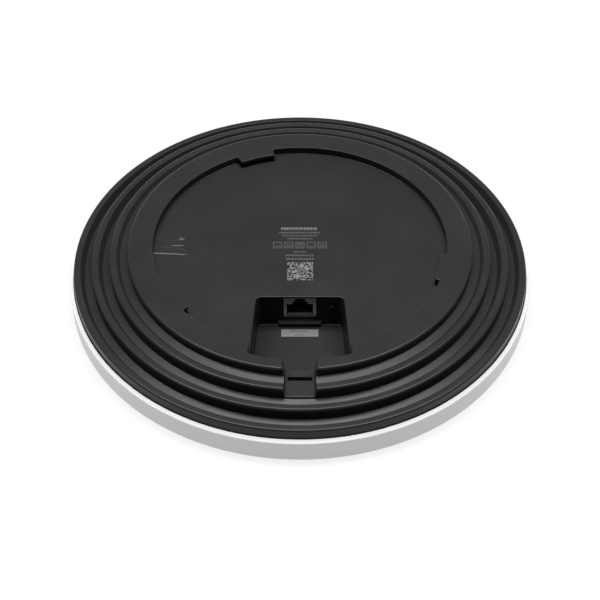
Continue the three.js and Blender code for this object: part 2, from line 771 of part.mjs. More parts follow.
function powerTransformer() {
  const pieces = [WINDING, LOWER_FLANGE, UPPER_FLANGE, TRANSFORMER_CORE];
  return joined(pieces.map(({ x, y, z }) => box(x, y, onBoard(z))));
}

function antenna(index) {
  const half = ANTENNA_LENGTH / 2;
  const inner = -ANTENNA_DEPTH / 2;
  const outer = ANTENNA_DEPTH / 2;
  const top = BOARD_TOP + ANTENNA_HEIGHT;
  const legZ = [BOARD_TOP + SEAT, top];
  const plate = box([inner, outer], [-half, half], [top - ANTENNA_SHEET, top]);
  const slotY = [-half + ANTENNA_SLOT.from, -half + ANTENNA_SLOT.to];
  const slotX = [inner + ANTENNA_SLOT.inset, outer + OVERCUT];
  const slot = box(slotX, slotY, [legZ[0], top + OVERCUT]);
  const legStarts = [-half, -half + ANTENNA_FEED, half - ANTENNA_LEG];
  const legs = legStarts.map((y) =>
    box([inner, inner + ANTENNA_SHEET], [y, y + ANTENNA_LEG], legZ),
  );
  const angle = ANTENNA_FIRST_DEG + index * ANTENNA_STEP_DEG;
  return joined([plate.subtract(slot), ...legs])
    .translate([ANTENNA_RADIUS, 0, 0])
    .rotate([0, 0, angle]);
}

function statusLed(index) {
  const turn = 360 / LED_COUNT;
  const [x, y] = polar(LIGHT_RADIUS, (index + 0.5) * turn);
  const half = LED_SIDE / 2;
  const z = [BOARD_BOTTOM - LED_HEIGHT - SEAT, BOARD_BOTTOM - SEAT];
  return box([x - half, x + half], [y - half, y + half], z);
}

// ---- Network jack -----------------------------------------------------------------------------

// The outline that the plug and its latch pass through.
function plugOutline() {
  return [
    [-PLUG_HALF_WIDTH, PLUG_BOTTOM],
    [PLUG_HALF_WIDTH, PLUG_BOTTOM],
    [PLUG_HALF_WIDTH, PLUG_TOP],
    [LATCH_WIDE_HALF, PLUG_TOP],
    [LATCH_WIDE_HALF, LATCH_WIDE_TOP],
    [LATCH_NARROW_HALF, LATCH_WIDE_TOP],
    [LATCH_NARROW_HALF, LATCH_NARROW_TOP],
    [-LATCH_NARROW_HALF, LATCH_NARROW_TOP],
    [-LATCH_NARROW_HALF, LATCH_WIDE_TOP],
    [-LATCH_WIDE_HALF, LATCH_WIDE_TOP],
    [-LATCH_WIDE_HALF, PLUG_TOP],
    [-PLUG_HALF_WIDTH, PLUG_TOP],
  ];
}

function jackShell() {
  const half = JACK_WIDTH / 2;
  const outside = box([-half, half], [JACK_FRONT, JACK_BACK], [JACK_BOTTOM, JACK_TOP]);
  const inside = box(
    [-half + JACK_SHEET, half - JACK_SHEET],
    [JACK_FRONT + JACK_SHEET, JACK_BACK + OVERCUT],
    [JACK_BOTTOM + JACK_SHEET, JACK_TOP - JACK_SHEET],
  );
  const mouth = extrudedAlongY(plugOutline(), [JACK_FRONT - OVERCUT, JACK_FRONT + OVERCUT]);
  const ledgeY = [JACK_FRONT, JACK_FRONT + LEDGE_DEPTH];
  const ledge = box([-LEDGE_HALF, LEDGE_HALF], ledgeY, [PLUG_BOTTOM - JACK_SHEET, PLUG_BOTTOM]);
  return outside.subtract(inside.add(mouth)).add(ledge);
}

function jackInsert() {
  const inset = JACK_SHEET + GAP;
  const half = JACK_WIDTH / 2 - inset;
  const front = JACK_FRONT + inset;
  const block = box([-half, half], [front, JACK_BACK - GAP], [JACK_BOTTOM + inset, JACK_TOP - inset]);
  const cavity = extrudedAlongY(plugOutline(), [front - OVERCUT, front + PLUG_DEPTH]);
  const ledgeRelief = box(
    [-LEDGE_HALF - GAP, LEDGE_HALF + GAP],
    [front - OVERCUT, JACK_FRONT + LEDGE_DEPTH + GAP],
    [PLUG_BOTTOM - JACK_SHEET - GAP, PLUG_BOTTOM + OVERLAP],
  );
  return block.subtract(cavity.add(ledgeRelief));
}

// A spring wire that rises from the mouth's floor toward the back of the cavity.
function jackContact(index) {
  const x = (index - (CONTACT_COUNT - 1) / 2) * CONTACT_PITCH;
  const front = JACK_FRONT + JACK_SHEET + GAP + CONTACT_SETBACK;
  const bend = front + CONTACT_FOOT;
  const back = front + PLUG_DEPTH - CONTACT_END;
  const low = PLUG_BOTTOM + CONTACT_LIFT;
  const high = low + CONTACT_RISE;
  const outline = [
    [front, low],
    [bend, low],
    [back, high - CONTACT_THICKNESS],
    [back, high],
    [bend - CONTACT_THICKNESS, low + CONTACT_THICKNESS],
    [front, low + CONTACT_THICKNESS],
  ];
  return extrudedAlongX(outline, [x - CONTACT_WIDTH / 2, x + CONTACT_WIDTH / 2]);
}

// ---- Reset switch -----------------------------------------------------------------------------

function resetPlunger() {
  const y = [PLUNGER_FRONT, PLUNGER_BACK];
  return rodAlongY(RESET_X, RESET_Z, PLUNGER_RADIUS, y, PLUNGER_SEGMENTS);
}

function resetSwitchBody() {
  const block = box(
    [RESET_X - SWITCH_HALF, RESET_X + SWITCH_HALF],
    [SWITCH_FRONT, SWITCH_BACK],
    [RESET_Z - SWITCH_HALF, RESET_Z + SWITCH_HALF],
  );
  const socket = [SWITCH_FRONT - OVERCUT, SWITCH_SOCKET_BOTTOM];
  const bore = PLUNGER_RADIUS + GAP;
  return block.subtract(rodAlongY(RESET_X, RESET_Z, bore, socket, PLUNGER_SEGMENTS));
}

// A bent sheet that stands on the board and holds the switch from behind.
function resetSwitchBracket() {
  const sheet = SWITCH_BRACKET_SHEET;
  const x = [RESET_X - SWITCH_HALF, RESET_X + SWITCH_HALF];
  const back = SWITCH_BACK + GAP;
  const bottom = BOARD_TOP + SEAT;
  const upright = box(x, [back, back + sheet], [bottom, RESET_Z + SWITCH_HALF]);
  const foot = box(x, [back, back + SWITCH_BRACKET_FOOT], [bottom, bottom + sheet]);
  const ledgeTop = RESET_Z - SWITCH_HALF - GAP;
  const ledge = box(x, [SWITCH_FRONT, back + sheet], [ledgeTop - sheet, ledgeTop]);
  return joined([upright, foot, ledge]);
}

// ---- Assembly ---------------------------------------------------------------------------------

const accessPoint = new THREE.Group();

function place(name, solid, look) {
  const mesh = new THREE.Mesh(toGeometry(solid), look);
  mesh.name = name;
  accessPoint.add(mesh);
}

function placeEach(count, prefix, make, look) {
  for (let i = 0; i < count; i++) {
    place(`${prefix}_${i + 1}`, make(i), look);
  }
}

place("front_cover", frontCover(), WHITE_PLASTIC);
place("light_ring", lightRing(), DIFFUSER);
place("light_guide", lightGuide(), DIFFUSER);
placeEach(LED_COUNT, "status_led", statusLed, DIFFUSER);

place("back_housing", backHousing(), DARK_PLASTIC);
place("serial_label", serialLabel(), LABEL_PAPER);

place("main_board", mainBoard(), BOARD_GREEN);
placeEach(BOSS_ANGLES_DEG.length, "board_screw", (i) => boardScrew(BOSS_ANGLES_DEG[i]), PLATED_STEEL);

place("jack_shell", jackShell(), TINNED_STEEL);
place("jack_insert", jackInsert(), BLACK_PLASTIC);
placeEach(CONTACT_COUNT, "jack_contact", jackContact, GOLD);

place("reset_plunger", resetPlunger(), BLACK_PLASTIC);
place("reset_switch_body", resetSwitchBody(), BLACK_PLASTIC);
place("reset_switch_bracket", resetSwitchBracket(), PLATED_STEEL);

for (const shield of SHIELDS) {
  place(`shield_can_${shield.name}`, shieldCan(shield), TINNED_STEEL);
  place(`chip_${shield.name}`, shieldedChip(shield), CHIP_BLACK);
  place(`thermal_pad_${shield.name}`, thermalPad(shield), PAD_GREY);
}
place("heat_sink", heatSink(), ALUMINIUM);

place("memory_chip", chipOnBoard(MEMORY_CHIP), CHIP_BLACK);
place("flash_chip", chipOnBoard(FLASH_CHIP), CHIP_BLACK);
place("lan_transformer", chipOnBoard(LAN_TRANSFORMER), CHIP_BLACK);
place("power_transformer", powerTransformer(), YELLOW_TAPE);
place("power_inductor", chipOnBoard(POWER_INDUCTOR), CHIP_BLACK);
placeEach(CAPACITORS.length, "output_capacitor", capacitor, ALUMINIUM);
placeEach(ANTENNA_COUNT, "antenna", antenna, TINNED_STEEL);

export default accessPoint;
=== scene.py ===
"""Looks of the ceiling access point: its visible pieces as fine meshes, materials, light and camera.

Sizes are in millimetres, in the frame of the CAD model, and each mesh is made in metres from them.
"""
import json
import math
import random

import bmesh
import bpy
from mathutils import Matrix, Vector


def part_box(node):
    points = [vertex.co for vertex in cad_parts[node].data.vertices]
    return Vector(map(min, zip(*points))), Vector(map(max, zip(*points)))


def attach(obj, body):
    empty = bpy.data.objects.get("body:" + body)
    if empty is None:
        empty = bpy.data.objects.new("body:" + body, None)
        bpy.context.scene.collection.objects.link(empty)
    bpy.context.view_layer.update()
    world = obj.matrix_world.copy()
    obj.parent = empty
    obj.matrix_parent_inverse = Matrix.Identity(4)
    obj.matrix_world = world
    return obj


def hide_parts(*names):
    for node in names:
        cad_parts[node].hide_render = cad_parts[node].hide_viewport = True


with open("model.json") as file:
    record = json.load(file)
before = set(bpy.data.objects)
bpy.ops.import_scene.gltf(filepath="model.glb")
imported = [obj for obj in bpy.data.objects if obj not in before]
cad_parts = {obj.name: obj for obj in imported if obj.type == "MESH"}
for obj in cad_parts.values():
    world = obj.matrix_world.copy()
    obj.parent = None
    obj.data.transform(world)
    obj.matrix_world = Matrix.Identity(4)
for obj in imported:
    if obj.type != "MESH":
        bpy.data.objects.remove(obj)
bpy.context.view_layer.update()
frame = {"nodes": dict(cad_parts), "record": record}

MM = 0.001
HOUSING_BODY = "housing"
BUTTON_BODY = "reset_button"


def node_box(node):
    """Lowest and highest corner of a CAD node, in millimetres."""
    low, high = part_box(node)
    return low / MM, high / MM


# ---- Dimensions ---------------------------------------------------------------------------------

SEGMENTS = 288          # facets round the large circles
FINE_SEGMENTS = 48      # facets round small circles
ARC_STEPS = 5           # facets round one small corner
PAST = 1.0              # how far a cut runs past the face it opens
INTO = 0.5              # how far a joined piece or a cut reaches into its neighbour

COVER_HIGH = node_box("front_cover")[1]
HOUSING_HIGH = node_box("back_housing")[1]
BOARD_TOP = node_box("main_board")[1].z
JACK_LOW, JACK_HIGH = node_box("jack_shell")
INSERT_LOW, INSERT_HIGH = node_box("jack_insert")
LIGHT_HIGH = node_box("light_ring")[1]
PLUNGER_LOW, PLUNGER_HIGH = node_box("reset_plunger")
LABEL_LOW, LABEL_HIGH = node_box("serial_label")

# Front cover
COVER_RADIUS = COVER_HIGH.x
RIM_TOP = COVER_HIGH.z
RIM_INNER_RADIUS = COVER_RADIUS - 1.75
RIM_CHAMFER = 1.1       # height of the sloping outer edge
RIM_CHAMFER_ROUND = 0.9
RIM_CREST = 0.25        # from the inner wall to the rim's highest line
RIM_CREST_ROUND = 0.2
RIM_INNER_BEVEL = 0.15
COVER_FLOOR = 2.0
COVER_FILLET = 1.6
COVER_FLOOR_ROUND = 0.5
COVER_STEPS = 7         # facets round each corner of the cover
SNAP_COUNT = 8
SNAP_WIDTH = 12.0
SNAP_REACH = 1.2
SNAP_ROOT = 0.6         # how far a hook is sunk in the wall
SNAP_CORNER = 0.3
SNAP_Z = (6.8, 8.7)

# Status light
LIGHT_GAP = 0.15        # beside the lens, in the cover
LIGHT_GAP_ABOVE = 0.2
LENS_GAP = 0.05
LENS_FRONT_ROUND = 0.15
LENS_BACK_ROUND = 0.1
LENS_SEGMENTS = 192

# Back housing
BACK_TOP = HOUSING_HIGH.z
SKIRT_RADIUS = HOUSING_HIGH.x
SKIRT_BOTTOM = 5.0
SKIRT_ROUND = 0.3
FIRST_EDGE = 79.4       # radius of the first riser
STEP_PITCH = 8.55
STEP_DROP = 3.0
EDGE_ROUND = 1.0        # round on each step's outer edge
RISER_LEAN = 0.1
GROOVE_ROUND = 0.3
GROOVE_END = 5.4        # where the next flat starts, outward from the riser's edge
GROOVE_WALL_END = 6.3
UNDERSIDE_CHAMFER = 0.5
# A groove's depth below the next flat at the riser's foot, and its lowest corner as
# (outward from the edge, depth)
SHALLOW_GROOVE = {"foot": 1.4, "low": (3.9, 2.1)}
DEEP_GROOVE = {"foot": 2.8, "low": (3.7, 3.5)}
LOW_ROUND = 0.5
GROOVES = [SHALLOW_GROOVE, DEEP_GROOVE, DEEP_GROOVE]
LAST_EDGE = FIRST_EDGE + len(GROOVES) * STEP_PITCH
LAST_FLAT = BACK_TOP - len(GROOVES) * STEP_DROP
SHELL = 2.0

# Bayonet recess
RECESS_RADIUS = 68.0
RECESS_FLOOR = BACK_TOP - 3.8
RECESS_SHELL = 1.8
RECESS_ROUND = 0.35
RECESS_FLOOR_ROUND = 0.4
LUG_UNDERSIDE = BACK_TOP - 1.9
LUG_CORNER = 0.7
LUG_STEPS = 8           # facets along a lug's inner side
WALL_STEPS = 60         # facets along the wall between two lugs
LUG_OVERLAP = 0.1       # between the cuts above and under the lugs
# Each lug's span round the wall in degrees and its reach inward
LUGS = [((101.4, 116.9), 4.6), ((205.6, 220.9), 3.2), ((337.3, 351.5), 2.5)]
LUG_HOLE_MARGIN = 0.2

# Catch on the recess floor: each piece is (outline, height, corner round)
CATCH_RIB = ([(-68.6, -5.2), (-51.5, -6.3), (-54.1, -1.7), (-68.6, 0.1)], 0.45, 0.4)
CATCH_STOP = ([(-60.0, 0.1), (-53.8, 0.1), (-53.8, 4.2), (-60.0, 4.2)], 0.35, 0.7)
CATCH_BUMP = ([(-57.0, 4.3), (-53.6, 4.3), (-53.6, 6.2), (-57.0, 6.2)], 0.4, 0.8)
CATCH_BEVEL = (0.7, 0.3)    # width and height

# Cable pocket: its walls lean, so its outline is given at two heights
POCKET_FLOOR = 5.1
POCKET_SHELL = 1.5
POCKET_LOW = {"back": -33.6, "back_half": 19.2, "front_half": 21.4, "front_radius": 72.4}
POCKET_HIGH_Z = BACK_TOP + 0.5      # where POCKET_HIGH holds
POCKET_HIGH = {"back": -32.9, "back_half": 19.6, "front_half": 21.9, "front_radius": 73.3}
POCKET_CORNER = 2.4
POCKET_CORNER_STEPS = 7
POCKET_FRONT_STEPS = 14
POCKET_FRONT_CORNER = 0.7
POCKET_FLOOR_ROUND = 0.6
POCKET_RIM_ROUND = 0.45     # at the recess floor
POCKET_TOP_ROUND = 0.2      # further out, at the plateau

# Cable channel
CHANNEL_FLOOR = 18.1
CHANNEL_HALF_LOW = 6.5
CHANNEL_HALF_HIGH = 7.3
CHANNEL_START = -70.0
CHANNEL_END = -87.6
CHANNEL_SHELL = 1.6
TROUGH_END = -87.0
TROUGH_FLAT_START = -84.2
TROUGH_PLATEAU_END = -78.5
TROUGH_COVER = 0.3
CHANNEL_EXIT_ROUND = 0.7
CHANNEL_EXIT_REACH = 0.35
CHANNEL_PAST = 1.5
CHANNEL_FLOOR_ROUND = 0.7
CHANNEL_FLARE = 0.3
SLOT_HALF = 5.2
SLOT_Y = (-78.8, -76.7)
SLOT_CORNER = 0.3

# Shelf lip under the jack
LIP_ROOT_HALF = 10.5
LIP_FRONT_HALF = 9.3
LIP_CORNER = 0.7
LIP_Y = (-35.5, -33.0)
LIP_Z = (5.6, 7.6)
LIP_ROUND = 0.35

# Bosses
BOSS_CIRCLE = 73.5
BOSS_ANGLES = [0, 60, 120, 180, 235, 305]
BOSS_RADIUS = 3.0
BOSS_HOLE_RADIUS = 1.6
BOSS_HOLE_TOP = 15.5
BOSS_GAP = 0.1          # between a boss and the board

# Network jack
JACK_SHEET = 0.35
JACK_CORNER = 0.6
JACK_FRONT_ROUND = 0.3
WINDOW_SIDE_GAP = 0.4
WINDOW_CORNER = 0.4
WINDOW_REACH = 3.4      # how far its cut reaches in front of the jack
PLUG_HALF = 5.9
PLUG_ROUND = 0.2
PLUG_Z = (10.25, 17.15)
LATCH_WIDE = (3.35, 18.7)
LATCH_NARROW = (2.3, JACK_HIGH.z - JACK_SHEET)
LATCH_ROUND = 0.15
LEDGE_HALF = 5.4
LEDGE_DEPTH = 1.45
LEDGE_GAP = 0.3
LEDGE_DROP = 0.6        # the folded ledge slopes down toward the mouth's front
LEDGE_NOSE = (0.15, 0.1)    # depth and height of its bevelled front edge
PLUG_DEPTH = 13.5
CONTACT_COUNT = 8
CONTACT_PITCH = 1.02
CONTACT_RADIUS = 0.21
CONTACT_SIDES = 10
CONTACT_FRONT = 1.9         # where a wire starts, behind the insert's front
CONTACT_BACK_GAP = 0.4
CONTACT_HEIGHTS = (-0.55, 2.8)      # of a wire's bend and its back end, over the plug's lower side
CONTACT_BEND = 0.7
BEND_TURN = 0.55            # the front bend's turn, as a share of half a circle
BEND_SHAPE = (0.9, 0.35)    # its length and height, as shares of its size
BEND_STEPS = 6
SPRING_STEPS = 12
SPRING_EASE = 0.35          # the share of the wire's rise that is an S curve, the rest being straight
INSERT_ROUND = 0.3
INSERT_FRONT_ROUND = 0.15
CAVITY_GAP = 0.05
COMB_HALF = 0.34            # each contact's slot in the insert
COMB_Z = (-0.9, 0.6)
COMB_Y = (1.5, 10.0)

# Reset plunger and its pinhole
RESET_X = (PLUNGER_LOW.x + PLUNGER_HIGH.x) / 2
RESET_Z = (PLUNGER_LOW.z + PLUNGER_HIGH.z) / 2
TIP_ROUND = 0.35        # on the plunger's end
PINHOLE_RADIUS = 0.65
PINHOLE_RING_RADIUS = 1.8
PINHOLE_RING_HEIGHT = 0.5
PINHOLE_RING_BEVEL = 0.6
PINHOLE_FLARE = 0.3     # how much its radius grows at the mouth
PINHOLE_FLARE_Y = (-0.05, 0.25)
PINHOLE_CUT_Y = (-2.0, 3.0)


# ---- Camera, light and floor --------------------------------------------------------------------

CAMERA_ELEVATION = 45.648
CAMERA_DISTANCE = 554.8
CAMERA_AIM = (0.04, -38.7, BACK_TOP)
CAMERA_HALF_FRAME = 0.23858     # tangent of half the angle of view
CAMERA_CLIP = (0.01, 20)        # in metres
# Each light's name, its place and size in metres, and its power in watts
LIGHTS = [
    ("top_softbox", (0, 0.2, 1.5), (1.75, 0.6), 48),
    ("back_card", (0, 1.2, 0.22), (2.0, 0.4), 5),
]
FLOOR_HALF = 4000
FLOOR_Z = (-5.0, -0.05)
SKY_ON_OBJECT = 0.1
SKY_IN_VIEW = 1.0


def make_camera():
    data = bpy.data.cameras.new("photo_camera")
    camera = bpy.data.objects.new("photo_camera", data)
    bpy.context.scene.collection.objects.link(camera)
    elevation = math.radians(CAMERA_ELEVATION)
    back = Vector((0, -math.cos(elevation), math.sin(elevation)))
    camera.location = (Vector(CAMERA_AIM) + CAMERA_DISTANCE * back) * MM
    camera.rotation_mode = "QUATERNION"
    camera.rotation_quaternion = (-back).to_track_quat("-Z", "Y")
    data.angle = 2 * math.atan(CAMERA_HALF_FRAME)
    data.clip_start, data.clip_end = CAMERA_CLIP
    bpy.context.scene.camera = camera


def area_light(name, place, size, power):
    """A rectangular light that faces the origin."""
    data = bpy.data.lights.new(name, "AREA")
    data.shape = "RECTANGLE"
    data.size, data.size_y = size
    data.energy = power
    light = bpy.data.objects.new(name, data)
    light.location = place
    light.rotation_mode = "QUATERNION"
    light.rotation_quaternion = (-Vector(place)).to_track_quat("-Z", "Y")
    bpy.context.scene.collection.objects.link(light)


def make_light():
    for light in LIGHTS:
        area_light(*light)
    world = bpy.data.worlds.new("studio")
    bpy.context.scene.world = world
    world.use_nodes = True
    tree = world.node_tree
    tree.nodes.clear()
    path = tree.nodes.new("ShaderNodeLightPath")
    mix = tree.nodes.new("ShaderNodeMixShader")
    output = tree.nodes.new("ShaderNodeOutputWorld")
    tree.links.new(path.outputs["Is Camera Ray"], mix.inputs["Fac"])
    for socket, strength in ((1, SKY_ON_OBJECT), (2, SKY_IN_VIEW)):
        sky = tree.nodes.new("ShaderNodeBackground")
        sky.inputs["Color"].default_value = (1, 1, 1, 1)
        sky.inputs["Strength"].default_value = strength
        tree.links.new(sky.outputs[0], mix.inputs[socket])
    tree.links.new(mix.outputs[0], output.inputs["Surface"])
    bpy.context.scene.view_settings.view_transform = "Standard"


# ---- Mesh helpers -------------------------------------------------------------------------------

MERGE_DISTANCE = 1e-7       # in metres
SHORTEST_EDGE = 1e-8        # in metres
LARGEST_CUT = 0.49          # the share of a side that one rounded corner may take
SMALL_ROUND_STEPS = 4


def mesh_object(name, points, faces):
    """A closed mesh from points in millimetres, with its faces pointing out."""
    mesh = bpy.data.meshes.new(name)
    mesh.from_pydata([Vector(p) * MM for p in points], [], faces)
    work = bmesh.new()
    work.from_mesh(mesh)
    bmesh.ops.remove_doubles(work, verts=work.verts, dist=MERGE_DISTANCE)
    bmesh.ops.dissolve_degenerate(work, edges=work.edges, dist=SHORTEST_EDGE)
    bmesh.ops.recalc_face_normals(work, faces=work.faces)
    work.to_mesh(mesh)
    work.free()
    made = bpy.data.objects.new(name, mesh)
    bpy.context.scene.collection.objects.link(made)
    return made


def turned_faces(profile, segments):
    """The faces between turned copies of a closed profile, but for its stretch on the axis."""
    count = len(profile)
    faces = []
    for i in range(segments):
        here, there = i * count, (i + 1) % segments * count
        for j in range(count):
            k = (j + 1) % count
            if profile[j][0] == 0 and profile[k][0] == 0:
                continue
            faces.append((here + j, here + k, there + k, there + j))
    return faces


def revolve(name, profile, segments=SEGMENTS):
    """A body of revolution about Z from a closed profile of (radius, z) points."""
    points = []
    for i in range(segments):
        angle = 2 * math.pi * i / segments
        points += [(r * math.cos(angle), r * math.sin(angle), z) for r, z in profile]
    return mesh_object(name, points, turned_faces(profile, segments))


def loft(name, rings):
    """A closed solid through rings that have the same number of 3-D points."""
    count = len(rings[0])
    points = [p for ring in rings for p in ring]
    faces = []
    for i in range(len(rings) - 1):
        for j in range(count):
            k = (j + 1) % count
            faces.append((i * count + j, i * count + k, (i + 1) * count + k, (i + 1) * count + j))
    last = (len(rings) - 1) * count
    faces += [tuple(range(count)), tuple(range(last, last + count))]
    return mesh_object(name, points, faces)


def rounded(corners, steps=ARC_STEPS):
    """A closed outline through (x, y, radius) corners, each rounded by an arc."""
    points = []
    for i, (x, y, radius) in enumerate(corners):
        here = Vector((x, y))
        if radius <= 0:
            points.append((x, y))
            continue
        before = Vector(corners[i - 1][:2]) - here
        after = Vector(corners[(i + 1) % len(corners)][:2]) - here
        half = before.angle(after) / 2
        cut = min(radius / math.tan(half), LARGEST_CUT * before.length, LARGEST_CUT * after.length)
        radius = cut * math.tan(half)
        before.normalize()
        after.normalize()
        centre = here + (before + after).normalized() * (radius / math.sin(half))
        first, last = here + before * cut - centre, here + after * cut - centre
        sweep = first.angle_signed(last)
        for step in range(steps + 1):
            turned = first.copy()
            turned.rotate(Matrix.Rotation(-sweep * step / steps, 2))
            points.append(tuple(centre + turned))
    return points


def grown(corners, amount):
    """A convex counter-clockwise outline with each side moved outward by the amount."""
    count = len(corners)
    lines = []
    for i in range(count):
        a, b = Vector(corners[i][:2]), Vector(corners[(i + 1) % count][:2])
        along = (b - a).normalized()
        outward = Vector((along.y, -along.x))
        lines.append((a + outward * amount, along))
    result = []
    for i in range(count):
        (p, d), (q, e) = lines[i - 1], lines[i]
        t = ((q.x - p.x) * e.y - (q.y - p.y) * e.x) / (d.x * e.y - d.y * e.x)
        met = p + d * t
        result.append((met.x, met.y, *corners[i][2:]))
    return result


def polar(radius, degrees):
    return radius * math.cos(math.radians(degrees)), radius * math.sin(math.radians(degrees))


def at_height(outline, z):
    return [(x, y, z) for x, y in outline]


def at_depth(outline, y):
    """Places an outline of (x, z) points at a depth along Y."""
    return [(x, y, z) for x, z in outline]


def edge_arc(radius, steps=ARC_STEPS):
    """(inset, rise) pairs of a quarter round, from the side (0, 0) to the face (radius, radius)."""
    angles = [math.pi / 2 * i / steps for i in range(steps + 1)]
    return [(radius - radius * math.cos(a), radius * math.sin(a)) for a in angles]


def slab(name, corners, z, top_round=0.0):
    """A convex outline extruded along Z, with its top edge rounded."""
    levels = [(0.0, z[0])]
    if top_round:
        arc = edge_arc(top_round, SMALL_ROUND_STEPS)
        levels += [(inset, z[1] - top_round + rise) for inset, rise in arc]
    else:
        levels.append((0.0, z[1]))
    return loft(name, [at_height(rounded(grown(corners, -inset)), height) for inset, height in levels])


def bevelled_slab(name, corners, z, bevel):
    """A convex outline extruded along Z, with a flat bevel of (width, height) on its top edge."""
    levels = [(0.0, z[0]), (0.0, z[1] - bevel[1]), (bevel[0], z[1])]
    return loft(name, [at_height(rounded(grown(corners, -inset)), height) for inset, height in levels])


def bar_along_y(name, corners, y, front_round=0.0):
    """A convex outline of (x, z) corners extruded along Y, with its front edge rounded."""
    levels = []
    if front_round:
        arc = edge_arc(front_round, SMALL_ROUND_STEPS)
        levels += [(inset, y[0] + front_round - rise) for inset, rise in reversed(arc)]
    else:
        levels.append((0.0, y[0]))
    levels.append((0.0, y[1]))
    return loft(name, [at_depth(rounded(grown(corners, -inset)), depth) for inset, depth in levels])


def rectangle(x, y, radius=0.0):
    return [(x[0], y[0], radius), (x[1], y[0], radius), (x[1], y[1], radius), (x[0], y[1], radius)]


def rod(name, centre, radius, z, segments=FINE_SEGMENTS):
    made = revolve(name, [(0, z[0]), (radius, z[0]), (radius, z[1]), (0, z[1])], segments)
    made.data.transform(Matrix.Translation(Vector((*centre, 0)) * MM))
    return made


def rod_along_y(name, centre, profile, segments=FINE_SEGMENTS):
    """A body of revolution about a line along Y from a closed profile of (radius, y) points."""
    points = []
    for i in range(segments):
        angle = 2 * math.pi * i / segments
        for r, y in profile:
            points.append((centre[0] + r * math.cos(angle), y, centre[1] + r * math.sin(angle)))
    return mesh_object(name, points, turned_faces(profile, segments))


def turned_about_z(made, degrees):
    made.data.transform(Matrix.Rotation(math.radians(degrees), 4, "Z"))
    return made


def ring_sector(name, radii, span, z, steps=24):
    angles = [math.radians(span[0] + (span[1] - span[0]) * i / steps) for i in range(steps + 1)]
    outline = [(radii[1] * math.cos(a), radii[1] * math.sin(a)) for a in angles]
    outline += [(radii[0] * math.cos(a), radii[0] * math.sin(a)) for a in reversed(angles)]
    return loft(name, [at_height(outline, z[0]), at_height(outline, z[1])])


def combined(target, tools, operation):
    """Joins or cuts the target by each tool, and removes the tools."""
    for tool in tools:
        modifier = target.modifiers.new("solid", "BOOLEAN")
        modifier.operation = operation
        modifier.solver = "MANIFOLD"
        modifier.object = tool
        graph = bpy.context.evaluated_depsgraph_get()
        graph.update()
        result = bpy.data.meshes.new_from_object(target.evaluated_get(graph))
        target.modifiers.clear()
        target.data = result
        bpy.data.objects.remove(tool)
    return target


def smooth(made, degrees=32):
    made.data.shade_smooth()
    made.data.set_sharp_from_angle(angle=math.radians(degrees))
    modifier = made.modifiers.new("weighted_normals", "WEIGHTED_NORMAL")
    modifier.keep_sharp = True
    modifier.weight = 100
    return made


# ---- Materials ----------------------------------------------------------------------------------


NOISE_ROUGHNESS = 0.55
NOISE_SPAN = (0.3, 0.7)
FLOW_SCALE = 14             # noise scales, per metre
HANDLING_SCALE = 45
WAVE_SCALE = 60
SPECKLE_SHARE = 0.6         # the colour speckle's scale against the grain's
GLOSS_VARIATION = 0.05
LINE_SCALE = 900
LINE_DEPTH = 0.000004
SMUDGE_SCALE = 120
BOARD_CELLS = 260
INK_WEAR_SCALE = 5200
FLOOR_ALBEDO = (0.12, 0.12, 0.12)
FLOOR_GLOW = 0.8            # keeps the floor pale round the dark object


